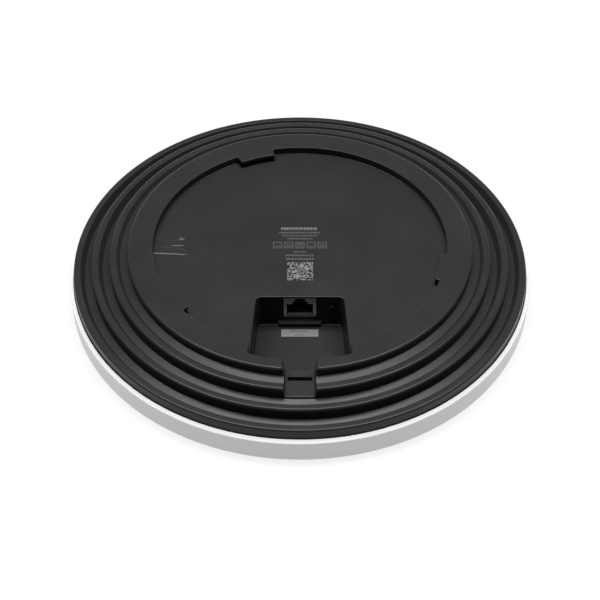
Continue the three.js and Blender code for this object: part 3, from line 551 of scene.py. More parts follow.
class Look:
    """A procedural material under construction, with short calls for the nodes it needs."""

    def __init__(self, name, roughness=0.5, metallic=0.0, specular=0.5):
        self.material = bpy.data.materials.new(name)
        self.material.use_nodes = True
        self.tree = self.material.node_tree
        self.shader = self.tree.nodes["Principled BSDF"]
        self.shader.inputs["Roughness"].default_value = roughness
        self.shader.inputs["Metallic"].default_value = metallic
        self.shader.inputs["Specular IOR Level"].default_value = specular
        self.place = self.tree.nodes.new("ShaderNodeTexCoord").outputs["Object"]

    def link(self, source, target):
        self.tree.links.new(source, target)

    def noise(self, scale, detail=3.0, stretch=None):
        node = self.tree.nodes.new("ShaderNodeTexNoise")
        node.inputs["Scale"].default_value = scale
        node.inputs["Detail"].default_value = detail
        node.inputs["Roughness"].default_value = NOISE_ROUGHNESS
        self.link(self.stretched(stretch), node.inputs["Vector"])
        return node.outputs["Fac"]

    def cells(self, scale):
        node = self.tree.nodes.new("ShaderNodeTexVoronoi")
        node.inputs["Scale"].default_value = scale
        self.link(self.place, node.inputs["Vector"])
        return node.outputs["Distance"]

    def stretched(self, stretch):
        if stretch is None:
            return self.place
        node = self.tree.nodes.new("ShaderNodeMapping")
        node.inputs["Scale"].default_value = stretch
        self.link(self.place, node.inputs["Vector"])
        return node.outputs["Vector"]

    def ramp(self, factor, stops):
        node = self.tree.nodes.new("ShaderNodeValToRGB")
        node.color_ramp.elements[0].position, node.color_ramp.elements[0].color = stops[0]
        node.color_ramp.elements[1].position, node.color_ramp.elements[1].color = stops[-1]
        for position, colour in stops[1:-1]:
            node.color_ramp.elements.new(position).color = colour
        self.link(factor, node.inputs["Fac"])
        return node.outputs["Color"]

    def mixed(self, factor, a, b):
        node = self.tree.nodes.new("ShaderNodeMix")
        node.data_type = "RGBA"
        node.inputs["Factor"].default_value = factor
        self.link(a, node.inputs["A"])
        self.link(b, node.inputs["B"])
        return node.outputs["Result"]

    def spread(self, factor, low, high):
        """Maps the span where a noise mostly lies onto low to high."""
        node = self.tree.nodes.new("ShaderNodeMapRange")
        node.inputs["From Min"].default_value, node.inputs["From Max"].default_value = NOISE_SPAN
        node.inputs["To Min"].default_value = low
        node.inputs["To Max"].default_value = high
        self.link(factor, node.inputs["Value"])
        return node.outputs["Result"]

    def bump(self, heights):
        """Stacks (height, depth in metres) pairs into one bumped normal."""
        normal = None
        for height, depth in heights:
            node = self.tree.nodes.new("ShaderNodeBump")
            node.inputs["Strength"].default_value = 1.0
            node.inputs["Distance"].default_value = depth
            self.link(height, node.inputs["Height"])
            if normal is not None:
                self.link(normal, node.inputs["Normal"])
            normal = node.outputs["Normal"]
        self.link(normal, self.shader.inputs["Normal"])

    def colour(self, source):
        self.link(source, self.shader.inputs["Base Color"])

    def roughness(self, source):
        self.link(source, self.shader.inputs["Roughness"])


def shade(colour, factor):
    return tuple(min(1.0, c * factor) for c in colour) + (1.0,)


def moulded_plastic(name, colour, roughness, grain, depth, specular=0.5, variation=0.04):
    """Moulded plastic: a spark-eroded grain, faint flow marks and handling marks in the gloss."""
    look = Look(name, specular=specular)
    flow = look.noise(FLOW_SCALE, detail=4)
    speckle = look.noise(grain * SPECKLE_SHARE, detail=2)
    low, high = shade(colour, 1 - variation), shade(colour, 1 + variation)
    broad = look.ramp(flow, [(0.3, low), (0.7, high)])
    fine = look.ramp(speckle, [(0.35, low), (0.65, high)])
    look.colour(look.mixed(0.5, broad, fine))
    gloss = look.noise(HANDLING_SCALE, detail=5)
    look.roughness(look.spread(gloss, roughness - GLOSS_VARIATION, roughness + GLOSS_VARIATION))
    look.bump([(look.noise(grain, detail=2), depth), (look.noise(WAVE_SCALE, detail=2), depth * 2)])
    return look.material


def sheet_metal(name, colour, roughness, brush):
    """Rolled sheet: fine lines along one direction, with smudges in the gloss."""
    look = Look(name, roughness=roughness, metallic=1.0)
    lines = look.noise(LINE_SCALE, detail=3, stretch=brush)
    smudge = look.noise(SMUDGE_SCALE, detail=4)
    rolled = look.ramp(lines, [(0.3, shade(colour, 0.9)), (0.7, shade(colour, 1.08))])
    handled = look.ramp(smudge, [(0.3, shade(colour, 0.93)), (0.7, shade(colour, 1.05))])
    look.colour(look.mixed(0.5, rolled, handled))
    look.roughness(look.spread(smudge, roughness - 0.06, roughness + 0.1))
    look.bump([(lines, LINE_DEPTH)])
    return look.material


def circuit_board():
    """Solder mask over copper: pads and traces show through, and the glass weave a little."""
    look = Look("solder_mask", roughness=0.4)
    base, trace = (0.012, 0.075, 0.045), (0.03, 0.13, 0.075)
    paths = look.ramp(look.cells(BOARD_CELLS), [(0.42, shade(base, 1.0)), (0.5, shade(trace, 1.0))])
    weave = look.ramp(look.noise(1500, detail=2), [(0.3, shade(base, 0.8)), (0.7, shade(base, 1.3))])
    look.colour(look.mixed(0.35, paths, weave))
    look.roughness(look.spread(look.noise(300), 0.3, 0.5))
    look.bump([(look.cells(BOARD_CELLS), 0.00003)])
    return look.material


def printed_ink(name, colour):
    """Pad-printed ink, thin enough for the plastic's grain to break it up."""
    look = Look(name, roughness=0.6)
    worn = look.noise(INK_WEAR_SCALE, detail=3)
    cover = look.ramp(worn, [(0.25, shade(colour, 0.62)), (0.6, shade(colour, 1.0))])
    look.colour(cover)
    look.roughness(look.spread(look.noise(900), 0.5, 0.7))
    look.bump([(look.noise(4000), 0.00001)])
    return look.material


def floor_look():
    """A pale floor with a faint mottle."""
    look = Look("studio_floor", roughness=0.7, specular=0.2)
    stops = [(0.3, shade(FLOOR_ALBEDO, 0.995)), (0.7, shade(FLOOR_ALBEDO, 1.005))]
    look.colour(look.ramp(look.noise(2), stops))
    look.shader.inputs["Emission Color"].default_value = (1, 1, 1, 1)
    look.shader.inputs["Emission Strength"].default_value = FLOOR_GLOW
    return look.material


def make_looks():
    return {
        "white_plastic": moulded_plastic("white_plastic", (0.74, 0.74, 0.735), 0.45, 3600, 0.000012,
                                         variation=0.012),
        "dark_plastic": moulded_plastic("dark_plastic", (0.0165, 0.0172, 0.017), 0.31, 3200, 0.000012,
                                        specular=0.2, variation=0.06),
        "black_plastic": moulded_plastic("black_plastic", (0.008, 0.008, 0.008), 0.45, 4200, 0.000008),
        "diffuser": moulded_plastic("diffuser", (0.72, 0.75, 0.78), 0.3, 5000, 0.000005, variation=0.01),
        "chip_epoxy": moulded_plastic("chip_epoxy", (0.012, 0.012, 0.013), 0.55, 6000, 0.00001),
        "thermal_pad": moulded_plastic("thermal_pad", (0.24, 0.3, 0.37), 0.8, 2500, 0.00003),
        "winding_tape": moulded_plastic("winding_tape", (0.5, 0.36, 0.06), 0.35, 800, 0.00002),
        "label_film": moulded_plastic("label_film", (0.075, 0.075, 0.077), 0.5, 3000, 0.000006),
        "circuit_board": circuit_board(),
        "plated_steel": sheet_metal("plated_steel", (0.55, 0.56, 0.58), 0.35, (1, 8, 1)),
        "tinned_steel": sheet_metal("tinned_steel", (0.52, 0.52, 0.515), 0.38, (1, 10, 1)),
        "contact_gold": sheet_metal("contact_gold", (0.42, 0.28, 0.09), 0.35, (1, 4, 1)),
        "aluminium": sheet_metal("aluminium", (0.62, 0.63, 0.64), 0.5, (6, 1, 1)),
        "ink": printed_ink("print_ink", (0.09, 0.09, 0.093)),
        "code_ink": printed_ink("code_print_ink", (0.15, 0.15, 0.153)),
        "symbol_ink": printed_ink("symbol_print_ink", (0.038, 0.038, 0.039)),
        "faint_ink": printed_ink("faint_print_ink", (0.045, 0.045, 0.047)),
        "label_print": printed_ink("label_print", (0.12, 0.12, 0.122)),
        "floor": floor_look(),
    }


# ---- Front cover and status light ---------------------------------------------------------------


def snap_angles():
    return [(i + 0.5) * 360 / SNAP_COUNT for i in range(SNAP_COUNT)]


def front_cover():
    profile = rounded([
        (0, 0, 0),
        (COVER_RADIUS, 0, COVER_FILLET),
        (COVER_RADIUS, RIM_TOP - RIM_CHAMFER, RIM_CHAMFER_ROUND),
        (RIM_INNER_RADIUS + RIM_CREST, RIM_TOP, RIM_CREST_ROUND),
        (RIM_INNER_RADIUS, RIM_TOP - RIM_INNER_BEVEL, 0),
        (RIM_INNER_RADIUS, COVER_FLOOR, COVER_FLOOR_ROUND),
        (0, COVER_FLOOR, 0),
    ], COVER_STEPS)
    cover = revolve("cover_shell", profile)
    inner, outer = light_inner_radius() - LIGHT_GAP, LIGHT_HIGH.x + LIGHT_GAP
    top = LIGHT_HIGH.z + LIGHT_GAP_ABOVE
    groove = revolve("groove", [(inner, -PAST), (outer, -PAST), (outer, top), (inner, top)])
    combined(cover, [groove], "DIFFERENCE")
    hooks = []
    for angle in snap_angles():
        x = (RIM_INNER_RADIUS - SNAP_REACH, RIM_INNER_RADIUS + SNAP_ROOT)
        y = (-SNAP_WIDTH / 2, SNAP_WIDTH / 2)
        hooks.append(turned_about_z(slab("hook", rectangle(x, y, SNAP_CORNER), SNAP_Z), angle))
    return smooth(combined(cover, hooks, "UNION"))


def light_inner_radius():
    """The light ring's inner radius, read from its CAD node."""
    points = frame["nodes"]["light_ring"].data.vertices
    return min(Vector((v.co.x, v.co.y)).length for v in points) / MM


def light_lens():
    inner, outer = light_inner_radius() + LENS_GAP, LIGHT_HIGH.x
    profile = rounded([
        (inner, 0, LENS_FRONT_ROUND),
        (outer, 0, LENS_FRONT_ROUND),
        (outer, LIGHT_HIGH.z, LENS_BACK_ROUND),
        (inner, LIGHT_HIGH.z, LENS_BACK_ROUND),
    ], 3)
    return smooth(revolve("status_light_lens", profile, LENS_SEGMENTS))


# ---- Back housing -------------------------------------------------------------------------------


def step_corners(edge, flat, groove):
    """The rounded edge, the riser and the groove at the outer side of one step."""
    next_flat = flat - STEP_DROP
    out, depth = groove["low"]
    return [
        (edge, flat, EDGE_ROUND),
        (edge + RISER_LEAN, next_flat - groove["foot"], GROOVE_ROUND),
        (edge + out, next_flat - depth, LOW_ROUND),
        (edge + GROOVE_END, next_flat, GROOVE_ROUND),
    ]


def step_underside(edge, flat, groove):
    """The shell's inner side under one step, from the middle outward."""
    next_flat = flat - STEP_DROP
    low = next_flat - groove["low"][1] - SHELL
    return [
        (edge - SHELL, flat - SHELL, 0),
        (edge - SHELL, low, 0),
        (edge + GROOVE_WALL_END - UNDERSIDE_CHAMFER, low, 0),
        (edge + GROOVE_WALL_END, next_flat - SHELL, 0),
    ]


def housing_blank():
    outside = [(0, BACK_TOP, 0)]
    underside = []
    for i, groove in enumerate(GROOVES):
        edge, flat = FIRST_EDGE + i * STEP_PITCH, BACK_TOP - i * STEP_DROP
        outside += step_corners(edge, flat, groove)
        underside += step_underside(edge, flat, groove)
    outside += [
        (LAST_EDGE, LAST_FLAT, EDGE_ROUND),
        (SKIRT_RADIUS, RIM_TOP, 0),
        (SKIRT_RADIUS, SKIRT_BOTTOM, SKIRT_ROUND),
        (SKIRT_RADIUS - SHELL, SKIRT_BOTTOM, SKIRT_ROUND),
        (LAST_EDGE - SHELL, LAST_FLAT - SHELL, 0),
    ]
    inside = underside[::-1] + [
        (RECESS_RADIUS + SHELL, BACK_TOP - SHELL, 0),
        (RECESS_RADIUS + SHELL, RECESS_FLOOR - RECESS_SHELL, 0),
        (0, RECESS_FLOOR - RECESS_SHELL, 0),
    ]
    return revolve("back_shell", rounded(outside + inside))


def recess_outline(grow):
    """The recess seen from above, its wall broken by the three lugs, grown outward."""
    outer = RECESS_RADIUS + grow
    corners = []
    for i, ((start, end), reach) in enumerate(LUGS):
        inner = outer - reach
        trim = math.degrees(grow / inner)
        start, end = start + trim, end - trim
        for degrees, radius in ((start, outer), (start, inner)):
            corners.append((*polar(radius, degrees), LUG_CORNER))
        for k in range(1, LUG_STEPS):
            corners.append((*polar(inner, start + (end - start) * k / LUG_STEPS), 0))
        for degrees, radius in ((end, inner), (end, outer)):
            corners.append((*polar(radius, degrees), LUG_CORNER))
        following = LUGS[(i + 1) % len(LUGS)][0][0] + trim
        if following < end:
            following += 360
        for k in range(1, WALL_STEPS):
            corners.append((*polar(outer, end + (following - end) * k / WALL_STEPS), 0))
    return rounded(corners)


def recess_cuts():
    """The recess above the lugs' underside, the disc under it and the moulding hole under each lug."""
    arc = edge_arc(RECESS_ROUND)
    levels = [(0.0, LUG_UNDERSIDE - LUG_OVERLAP)]
    levels += [(inset, BACK_TOP - RECESS_ROUND + rise) for inset, rise in arc]
    levels.append((RECESS_ROUND, BACK_TOP + PAST))
    upper = loft("recess_upper", [at_height(recess_outline(grow), z) for grow, z in levels])
    disc = rounded([
        (0, RECESS_FLOOR, 0),
        (RECESS_RADIUS, RECESS_FLOOR, RECESS_FLOOR_ROUND),
        (RECESS_RADIUS, LUG_UNDERSIDE, 0),
        (0, LUG_UNDERSIDE, 0),
    ])
    lower = revolve("recess_lower", disc)
    holes = []
    for span, reach in LUGS:
        radii = (RECESS_RADIUS - reach + LUG_HOLE_MARGIN, RECESS_RADIUS - LUG_HOLE_MARGIN)
        z = (RECESS_FLOOR - RECESS_SHELL - PAST, RECESS_FLOOR + INTO)
        holes.append(ring_sector("lug_hole", radii, span, z))
    return [lower, upper, *holes]


def pocket_outline(z, grow):
    """The pocket seen from above at a height: straight back and sides, and an arc at the front."""
    share = (z - POCKET_FLOOR) / (POCKET_HIGH_Z - POCKET_FLOOR)
    size = {key: POCKET_LOW[key] + share * (POCKET_HIGH[key] - POCKET_LOW[key]) for key in POCKET_LOW}
    back = size["back"] + grow
    back_half = size["back_half"] + grow
    front_half = size["front_half"] + grow
    radius = size["front_radius"] + grow
    corner = math.degrees(math.asin(front_half / radius))
    last = POCKET_FRONT_STEPS
    front = [polar(radius, -90 - corner + 2 * corner * k / last) for k in range(last + 1)]
    corners = [(x, y, POCKET_FRONT_CORNER if k in (0, last) else 0) for k, (x, y) in enumerate(front)]
    corners += [(back_half, back, POCKET_CORNER + grow), (-back_half, back, POCKET_CORNER + grow)]
    return rounded(corners, POCKET_CORNER_STEPS)


def pocket_cut():
    floor_arc = edge_arc(POCKET_FLOOR_ROUND)
    rim_arc = edge_arc(POCKET_RIM_ROUND)
    top_arc = edge_arc(POCKET_TOP_ROUND)
    levels = [(-inset, POCKET_FLOOR + POCKET_FLOOR_ROUND - rise) for inset, rise in reversed(floor_arc)]
    levels += [(inset, RECESS_FLOOR - POCKET_RIM_ROUND + rise) for inset, rise in rim_arc]
    plateau = BACK_TOP - POCKET_TOP_ROUND
    levels += [(POCKET_RIM_ROUND + inset, plateau + rise) for inset, rise in top_arc]
    levels.append((POCKET_RIM_ROUND + POCKET_TOP_ROUND, BACK_TOP + PAST))
    return loft("pocket", [at_height(pocket_outline(z, grow), z) for grow, z in levels])


def pocket_tub():
    heights = (POCKET_FLOOR - POCKET_SHELL, BACK_TOP - SHELL / 2)
    return loft("tub", [at_height(pocket_outline(z, POCKET_SHELL), z) for z in heights])


def channel_section(floor):
    """The channel's outline across Y, with rounded floor corners and a flared top."""
    side = [(inset, BACK_TOP - CHANNEL_FLARE + rise) for inset, rise in edge_arc(CHANNEL_FLARE)]
    right = [(CHANNEL_HALF_HIGH + inset, z, 0) for inset, z in side]
    right.append((CHANNEL_HALF_HIGH + CHANNEL_FLARE, BACK_TOP + PAST, 0))
    left = [(-x, z, r) for x, z, r in reversed(right)]
    base = [(x, floor, CHANNEL_FLOOR_ROUND) for x in (-CHANNEL_HALF_LOW, CHANNEL_HALF_LOW)]
    return rounded(base + right + left)


def channel_cut():
    """The channel's space, its floor rounded down where it leaves the step."""
    stations = [(CHANNEL_START, 0.0)]
    for drop, reach in edge_arc(CHANNEL_EXIT_ROUND):
        stations.append((CHANNEL_END + CHANNEL_EXIT_ROUND - CHANNEL_EXIT_REACH - reach, drop))
    stations.append((CHANNEL_END - CHANNEL_PAST, CHANNEL_EXIT_ROUND))
    return loft("channel", [at_depth(channel_section(CHANNEL_FLOOR - drop), y) for y, drop in stations])


def channel_troughs():
    """The channel's walls, taller under the first flat and under the plateau."""
    half = CHANNEL_HALF_HIGH + CHANNEL_SHELL
    bottom = CHANNEL_FLOOR - CHANNEL_SHELL
    groove_floor = BACK_TOP - STEP_DROP - GROOVES[0]["low"][1]
    stretches = [
        (TROUGH_END, CHANNEL_START, groove_floor - TROUGH_COVER),
        (TROUGH_END, TROUGH_FLAT_START, BACK_TOP - STEP_DROP - SHELL / 2),
        (TROUGH_PLATEAU_END, CHANNEL_START, BACK_TOP - SHELL / 2),
    ]
    return [slab("trough", rectangle((-half, half), (near, far)), (bottom, top))
            for near, far, top in stretches]


def shelf_lip():
    near, root = LIP_Y
    corners = [
        (-LIP_ROOT_HALF, root, 0),
        (-LIP_FRONT_HALF, near, LIP_CORNER),
        (LIP_FRONT_HALF, near, LIP_CORNER),
        (LIP_ROOT_HALF, root, 0),
    ]
    return slab("lip", corners, LIP_Z, LIP_ROUND)


def jack_window():
    x = (JACK_LOW.x - WINDOW_SIDE_GAP, JACK_HIGH.x + WINDOW_SIDE_GAP)
    z = (JACK_LOW.z - WINDOW_SIDE_GAP, JACK_HIGH.z + WINDOW_SIDE_GAP)
    y = (JACK_LOW.y - WINDOW_REACH, JACK_HIGH.y + WINDOW_SIDE_GAP)
    return bar_along_y("window", rectangle(x, z, WINDOW_CORNER), y)


def pinhole_wall():
    """Where the pocket's leaning back wall is at the height of the pinhole."""
    share = (RESET_Z - POCKET_FLOOR) / (POCKET_HIGH_Z - POCKET_FLOOR)
    return POCKET_LOW["back"] + share * (POCKET_HIGH["back"] - POCKET_LOW["back"])


def pinhole_ring():
    wall = pinhole_wall()
    radius = PINHOLE_RING_RADIUS
    face = wall - PINHOLE_RING_HEIGHT
    profile = [(0, face), (radius - PINHOLE_RING_BEVEL, face), (radius, wall), (radius, wall + INTO),
               (0, wall + INTO)]
    return rod_along_y("pinhole_ring", (RESET_X, RESET_Z), profile)


def pinhole():
    wall = pinhole_wall()
    near, flare_start, flare_end, far = (wall + y for y in (
        PINHOLE_CUT_Y[0], *PINHOLE_FLARE_Y, PINHOLE_CUT_Y[1]))
    mouth = PINHOLE_RADIUS + PINHOLE_FLARE
    profile = [(0, near), (mouth, near), (mouth, flare_start), (PINHOLE_RADIUS, flare_end),
               (PINHOLE_RADIUS, far), (0, far)]
    return rod_along_y("pinhole", (RESET_X, RESET_Z), profile)


def back_housing():
    """The stepped shell, with its features joined on and cut out in turn."""
    shell = housing_blank()
    boss_z = (BOARD_TOP + BOSS_GAP, BACK_TOP - SHELL / 2)
    bosses = [rod("boss", polar(BOSS_CIRCLE, a), BOSS_RADIUS, boss_z) for a in BOSS_ANGLES]
    combined(shell, [pocket_tub(), *channel_troughs(), *bosses], "UNION")
    combined(shell, recess_cuts(), "DIFFERENCE")
    catch = []
    for outline, height, corner in (CATCH_RIB, CATCH_STOP, CATCH_BUMP):
        corners = [(x, y, corner) for x, y in outline]
        z = (RECESS_FLOOR - INTO, RECESS_FLOOR + height)
        catch.append(bevelled_slab("catch", corners, z, CATCH_BEVEL))
    combined(shell, catch, "UNION")
    slot_z = (CHANNEL_FLOOR - CHANNEL_SHELL - PAST, CHANNEL_FLOOR + PAST)
    slot = slab("slot", rectangle((-SLOT_HALF, SLOT_HALF), SLOT_Y, SLOT_CORNER), slot_z)
    hole_z = (BOARD_TOP - PAST, BOSS_HOLE_TOP)
    boss_holes = [rod("hole", polar(BOSS_CIRCLE, a), BOSS_HOLE_RADIUS, hole_z) for a in BOSS_ANGLES]
    combined(shell, [pocket_cut(), channel_cut(), slot, jack_window(), *boss_holes], "DIFFERENCE")
    combined(shell, [shelf_lip(), pinhole_ring()], "UNION")
    return smooth(combined(shell, [pinhole()], "DIFFERENCE"))


# ---- Network jack -------------------------------------------------------------------------------


def plug_outline(grow=0.0):
    """The opening for a plug and its latch, as (x, z, radius) corners."""
    half, wide, narrow = PLUG_HALF + grow, LATCH_WIDE[0] + grow, LATCH_NARROW[0] + grow
    low, top = PLUG_Z[0] - grow, PLUG_Z[1] + grow
    wide_top, narrow_top = LATCH_WIDE[1] + grow, LATCH_NARROW[1] + grow
    right = [(half, low, PLUG_ROUND), (half, top, PLUG_ROUND),
             (wide, top, LATCH_ROUND), (wide, wide_top, LATCH_ROUND),
             (narrow, wide_top, LATCH_ROUND), (narrow, narrow_top, PLUG_ROUND)]
    left = [(-x, z, r) for x, z, r in reversed(right)]
    return rounded(right + left, 3)


def plug_cut(name, grow, y):
    outline = plug_outline(grow)
    return loft(name, [at_depth(outline, y[0]), at_depth(outline, y[1])])


def jack_shell():
    outside = rectangle((JACK_LOW.x, JACK_HIGH.x), (JACK_LOW.z, JACK_HIGH.z), JACK_CORNER)
    shell = bar_along_y("jack_can", outside, (JACK_LOW.y, JACK_HIGH.y), JACK_FRONT_ROUND)
    inside = (JACK_LOW.y + JACK_SHEET, JACK_HIGH.y + PAST)
    hollow = bar_along_y("hollow", grown(outside, -JACK_SHEET), inside)
    front = (JACK_LOW.y - PAST, JACK_LOW.y + PAST)
    mouth = plug_cut("mouth", 0.0, front)
    notch_z = (PLUG_Z[0] - LEDGE_DROP, PLUG_Z[0] + INTO)
    notch = bar_along_y("notch", rectangle((-LEDGE_HALF, LEDGE_HALF), notch_z), front)
    combined(shell, [hollow, mouth, notch], "DIFFERENCE")
    return smooth(combined(shell, [mouth_ledge()], "UNION"))


def mouth_ledge():
    """The sheet folded in along the mouth's lower edge, sloping down toward the front."""
    near, far = JACK_LOW.y, JACK_LOW.y + LEDGE_DEPTH
    top, front_top = PLUG_Z[0], PLUG_Z[0] - LEDGE_DROP
    section = [(near, front_top - JACK_SHEET), (far, top - JACK_SHEET), (far, top),
               (near + LEDGE_NOSE[0], front_top), (near, front_top - LEDGE_NOSE[1])]
    ends = (-LEDGE_HALF, LEDGE_HALF)
    return loft("ledge", [[(x, y, z) for y, z in section] for x in ends])


def contact_x(index):
    return (index - (CONTACT_COUNT - 1) / 2) * CONTACT_PITCH


def jack_insert():
    front, low = INSERT_LOW.y, PLUG_Z[0]
    outside = rectangle((INSERT_LOW.x, INSERT_HIGH.x), (INSERT_LOW.z, INSERT_HIGH.z), INSERT_ROUND)
    block = bar_along_y("jack_core", outside, (front, INSERT_HIGH.y), INSERT_FRONT_ROUND)
    cavity = plug_cut("cavity", CAVITY_GAP, (front - PAST, front + PLUG_DEPTH))
    slots = []
    for i in range(CONTACT_COUNT):
        x = (contact_x(i) - COMB_HALF, contact_x(i) + COMB_HALF)
        z = (low + COMB_Z[0], low + COMB_Z[1])
        slots.append(bar_along_y("comb", rectangle(x, z), (front + COMB_Y[0], front + COMB_Y[1])))
    relief_x = (-LEDGE_HALF - LEDGE_GAP, LEDGE_HALF + LEDGE_GAP)
    relief_y = (front - PAST, JACK_LOW.y + LEDGE_DEPTH + LEDGE_GAP)
    relief_z = (low - JACK_SHEET - LEDGE_GAP, low + INTO)
    relief = bar_along_y("relief", rectangle(relief_x, relief_z), relief_y)
    return smooth(combined(block, [cavity, relief, *slots], "DIFFERENCE"))


def contact_wire(index):
    """A round spring wire: out of its comb slot at the mouth, then rising to the back of the cavity."""
    x = contact_x(index)
    bend_end = INSERT_LOW.y + CONTACT_FRONT + CONTACT_BEND
    back = INSERT_LOW.y + PLUG_DEPTH - CONTACT_BACK_GAP
    low, high = (PLUG_Z[0] + height for height in CONTACT_HEIGHTS)
    length, height = (CONTACT_BEND * share for share in BEND_SHAPE)
    centres = []
    for i in range(BEND_STEPS + 1):
        angle = math.pi * BEND_TURN * (1 - i / BEND_STEPS)
        centres.append((bend_end - length * math.sin(angle), low + height * (1 - math.cos(angle))))
    for i in range(1, SPRING_STEPS + 1):
        t = i / SPRING_STEPS
        rise = SPRING_EASE * t * t * (3 - 2 * t) + (1 - SPRING_EASE) * t
        centres.append((bend_end + (back - bend_end) * t, low + (high - low) * rise))
    centres.sort()
    rings = []
    for i, (y, z) in enumerate(centres):
        before, after = centres[max(i - 1, 0)], centres[min(i + 1, len(centres) - 1)]
        along = Vector((after[0] - before[0], after[1] - before[1])).normalized()
        ring = []
        for k in range(CONTACT_SIDES):
            angle = 2 * math.pi * k / CONTACT_SIDES
            across, up = CONTACT_RADIUS * math.cos(angle), CONTACT_RADIUS * math.sin(angle)
            ring.append((x + across, y - along.y * up, z + along.x * up))
        rings.append(ring)
    return smooth(loft(f"spring_contact_{index + 1}", rings), 50)


# ---- Reset plunger, label and print -------------------------------------------------------------


def reset_plunger():
    radius = (PLUNGER_HIGH.x - PLUNGER_LOW.x) / 2
    near, far = PLUNGER_LOW.y, PLUNGER_HIGH.y
    tip = [(radius - inset, near + TIP_ROUND - rise) for inset, rise in reversed(edge_arc(TIP_ROUND))]
    profile = [(0, near), *tip, (radius, far), (0, far)]
    return smooth(rod_along_y("reset_button_tip", (RESET_X, RESET_Z), profile))


def boxes_object(name, rectangles, z):
    """Many thin closed slabs as one object, from (x0, x1, y0, y1) rectangles."""
    points, faces = [], []
    for x0, x1, y0, y1 in rectangles:
        start = len(points)
        for height in z:
            points += [(x0, y0, height), (x1, y0, height), (x1, y1, height), (x0, y1, height)]
        for face in ((0, 3, 2, 1), (4, 5, 6, 7), (0, 1, 5, 4), (1, 2, 6, 5), (2, 3, 7, 6), (3, 0, 4, 7)):
            faces.append(tuple(start + i for i in face))
    mesh = bpy.data.meshes.new(name)
    mesh.from_pydata([Vector(p) * MM for p in points], [], faces)
    made = bpy.data.objects.new(name, mesh)
    bpy.context.scene.collection.objects.link(made)
    return made


def dashes(rng, x, y, mark=(0.35, 1.1), gap=(0.22, 0.4)):
    """A line of plain dashes of varied length, standing in for printed words."""
    row = []
    at = x[0]
    while at < x[1] - mark[0]:
        length = min(rng.uniform(*mark), x[1] - at)
        row.append((at, at + length, *y))
        at += length + rng.uniform(*gap)
    return row


# Each row of print: its span along X and Y, its dashes' shortest and longest, and its look
PRINT_ROWS = [
    ((-8.9, 8.9), (11.2, 12.9), (0.7, 1.3), "ink"),
    ((-9.7, 9.7), (8.7, 9.8), (0.4, 1.0), "faint_ink"),
    ((-8.3, 8.3), (6.7, 7.7), (0.4, 1.0), "faint_ink"),
    ((-5.8, 5.8), (4.6, 5.6), (0.4, 1.0), "faint_ink"),
    ((-3.1, 3.1), (-4.3, -3.4), (0.4, 0.9), "faint_ink"),
    ((-6.6, 6.6), (-6.8, -5.6), (0.4, 0.9), "faint_ink"),
    ((-6.4, 6.4), (-9.2, -8.0), (0.6, 1.1), "faint_ink"),
]
SYMBOL_COUNT = 5
SYMBOL_SIZE = 4.2
SYMBOL_PITCH = 5.2
SYMBOL_Y = 0.7
SYMBOL_LINE = 0.45
BAR_INSET = (0.9, 1.1)      # of a symbol's lowest bar, along X and Y
BAR_HEIGHT = 0.5
BAR_PITCH = 0.95
CODE_CENTRE = (0.1, -16.6)
CODE_SIDE = 11.8
CODE_CELLS = 25
CODE_FILL = 0.4             # the chance that a printed run starts at a cell
CODE_RUN = 0.25             # the chance that it goes on to the next cell
CODE_GAP = 0.01
PRINT_Z = (RECESS_FLOOR + 0.005, RECESS_FLOOR + 0.025)
PRINT_SEED = 7
LABEL_CORNER = 0.3
LABEL_ROUND = 0.04
BAND_INSET = (0.15, 0.2)    # from the label's sides and ends
BAND_GAP = 0.28             # half the gap between the bands
INK_THICKNESS = 0.01
# Each line of dashes on the label: its span along X, and along Y from the label's middle
LABEL_LINES = [((-4.5, 3.5), (0.75, 1.5)), ((-2.2, 2.4), (-1.6, -0.9))]
LABEL_SEED = 11


def symbol_outlines():
    """Plain framed squares with one to three bars inside, standing in for printed symbols."""
    marks = []
    line = SYMBOL_LINE
    for i in range(SYMBOL_COUNT):
        x = (i - (SYMBOL_COUNT - 1) / 2) * SYMBOL_PITCH
        low_x, high_x = x - SYMBOL_SIZE / 2, x + SYMBOL_SIZE / 2
        low_y, high_y = SYMBOL_Y - SYMBOL_SIZE / 2, SYMBOL_Y + SYMBOL_SIZE / 2
        marks += [(low_x, high_x, high_y - line, high_y), (low_x, high_x, low_y, low_y + line),
                  (low_x, low_x + line, low_y + line, high_y - line),
                  (high_x - line, high_x, low_y + line, high_y - line)]
        for k in range(1 + i % 3):
            y = low_y + BAR_INSET[1] + BAR_PITCH * k
            marks.append((low_x + BAR_INSET[0], high_x - BAR_INSET[0], y, y + BAR_HEIGHT))
    return marks


def code_cells(rng):
    """A square of random cells with no finder marks, so that it holds no code."""
    cell = CODE_SIDE / CODE_CELLS
    low_x, low_y = CODE_CENTRE[0] - CODE_SIDE / 2, CODE_CENTRE[1] - CODE_SIDE / 2
    marks = []
    for row in range(CODE_CELLS):
        column = 0
        while column < CODE_CELLS:
            run = 1
            if rng.random() < CODE_FILL:
                while column + run < CODE_CELLS and rng.random() < CODE_RUN:
                    run += 1
                marks.append((low_x + column * cell, low_x + (column + run) * cell,
                              low_y + row * cell + CODE_GAP, low_y + (row + 1) * cell - CODE_GAP))
            column += run
    return marks


def printed_marks():
    """The print on the recess floor, as one piece for each ink."""
    rng = random.Random(PRINT_SEED)
    by_look = {"ink": [], "faint_ink": []}
    for x, y, mark, look in PRINT_ROWS:
        by_look[look] += dashes(rng, x, y, mark)
    return {
        "ink": boxes_object("print_bold", by_look["ink"], PRINT_Z),
        "faint_ink": boxes_object("print_fine", by_look["faint_ink"], PRINT_Z),
        "symbol_ink": boxes_object("print_symbols", symbol_outlines(), PRINT_Z),
        "code_ink": boxes_object("print_code", code_cells(rng), PRINT_Z),
    }


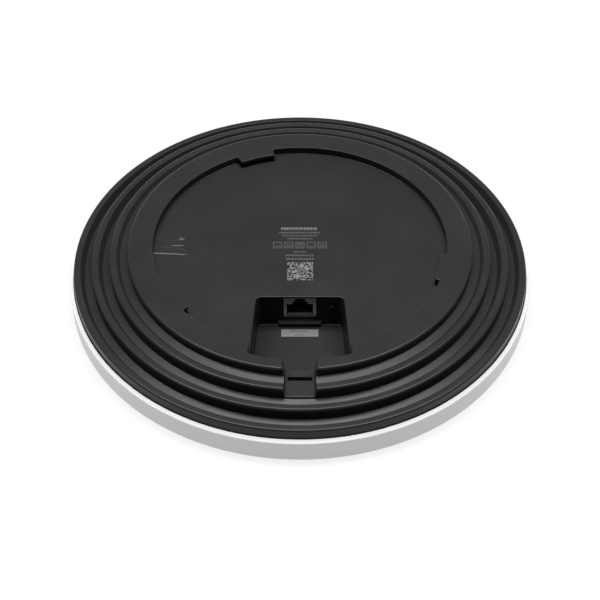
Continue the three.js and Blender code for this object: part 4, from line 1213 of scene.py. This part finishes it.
def serial_label():
    corners = rectangle((LABEL_LOW.x, LABEL_HIGH.x), (LABEL_LOW.y, LABEL_HIGH.y), LABEL_CORNER)
    return smooth(slab("label_film", corners, (LABEL_LOW.z, LABEL_HIGH.z), LABEL_ROUND))


def label_print():
    """Two pale bands on the label, and the dashes over them."""
    rng = random.Random(LABEL_SEED)
    low_x, high_x = LABEL_LOW.x + BAND_INSET[0], LABEL_HIGH.x - BAND_INSET[0]
    low_y, high_y = LABEL_LOW.y + BAND_INSET[1], LABEL_HIGH.y - BAND_INSET[1]
    middle = (LABEL_LOW.y + LABEL_HIGH.y) / 2
    bands = [(low_x, high_x, middle + BAND_GAP, high_y), (low_x, high_x, low_y, middle - BAND_GAP)]
    marks = []
    for x, (near, far) in LABEL_LINES:
        marks += dashes(rng, x, (middle + near, middle + far))
    film, ink, top = (LABEL_HIGH.z + INK_THICKNESS * layer for layer in range(3))
    return boxes_object("label_bands", bands, (film, ink)), boxes_object("label_marks", marks, (ink, top))


# ---- Assembly -----------------------------------------------------------------------------------


def dress(piece, look, nodes=(), body=HOUSING_BODY):
    """Gives a piece its material and the body it rides on, and hides the CAD nodes it stands for."""
    piece.data.materials.clear()
    piece.data.materials.append(look)
    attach(piece, body)
    if nodes:
        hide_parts(*nodes)


def make_floor(look):
    floor = boxes_object("studio_floor", [(-FLOOR_HALF, FLOOR_HALF, -FLOOR_HALF, FLOOR_HALF)], FLOOR_Z)
    floor.data.materials.append(look)


def main():
    looks = make_looks()
    make_camera()
    make_light()
    make_floor(looks["floor"])
    slots = {part["node"]: part["material_slot"] for part in frame["record"]["subparts"]}
    for name, node in frame["nodes"].items():
        node.data.materials.clear()
        node.data.materials.append(looks[slots[name]])
    dress(back_housing(), looks["dark_plastic"], ["back_housing"])
    dress(front_cover(), looks["white_plastic"], ["front_cover"])
    dress(light_lens(), looks["diffuser"], ["light_ring"])
    dress(jack_shell(), looks["tinned_steel"], ["jack_shell"])
    dress(jack_insert(), looks["black_plastic"], ["jack_insert"])
    for i in range(CONTACT_COUNT):
        dress(contact_wire(i), looks["contact_gold"], [f"jack_contact_{i + 1}"])
    dress(reset_plunger(), looks["black_plastic"], ["reset_plunger"], BUTTON_BODY)
    for look, marks in printed_marks().items():
        dress(marks, looks[look])
    dress(serial_label(), looks["label_film"], ["serial_label"])
    bands, marks = label_print()
    dress(bands, looks["label_print"])
    dress(marks, looks["faint_ink"])


main()
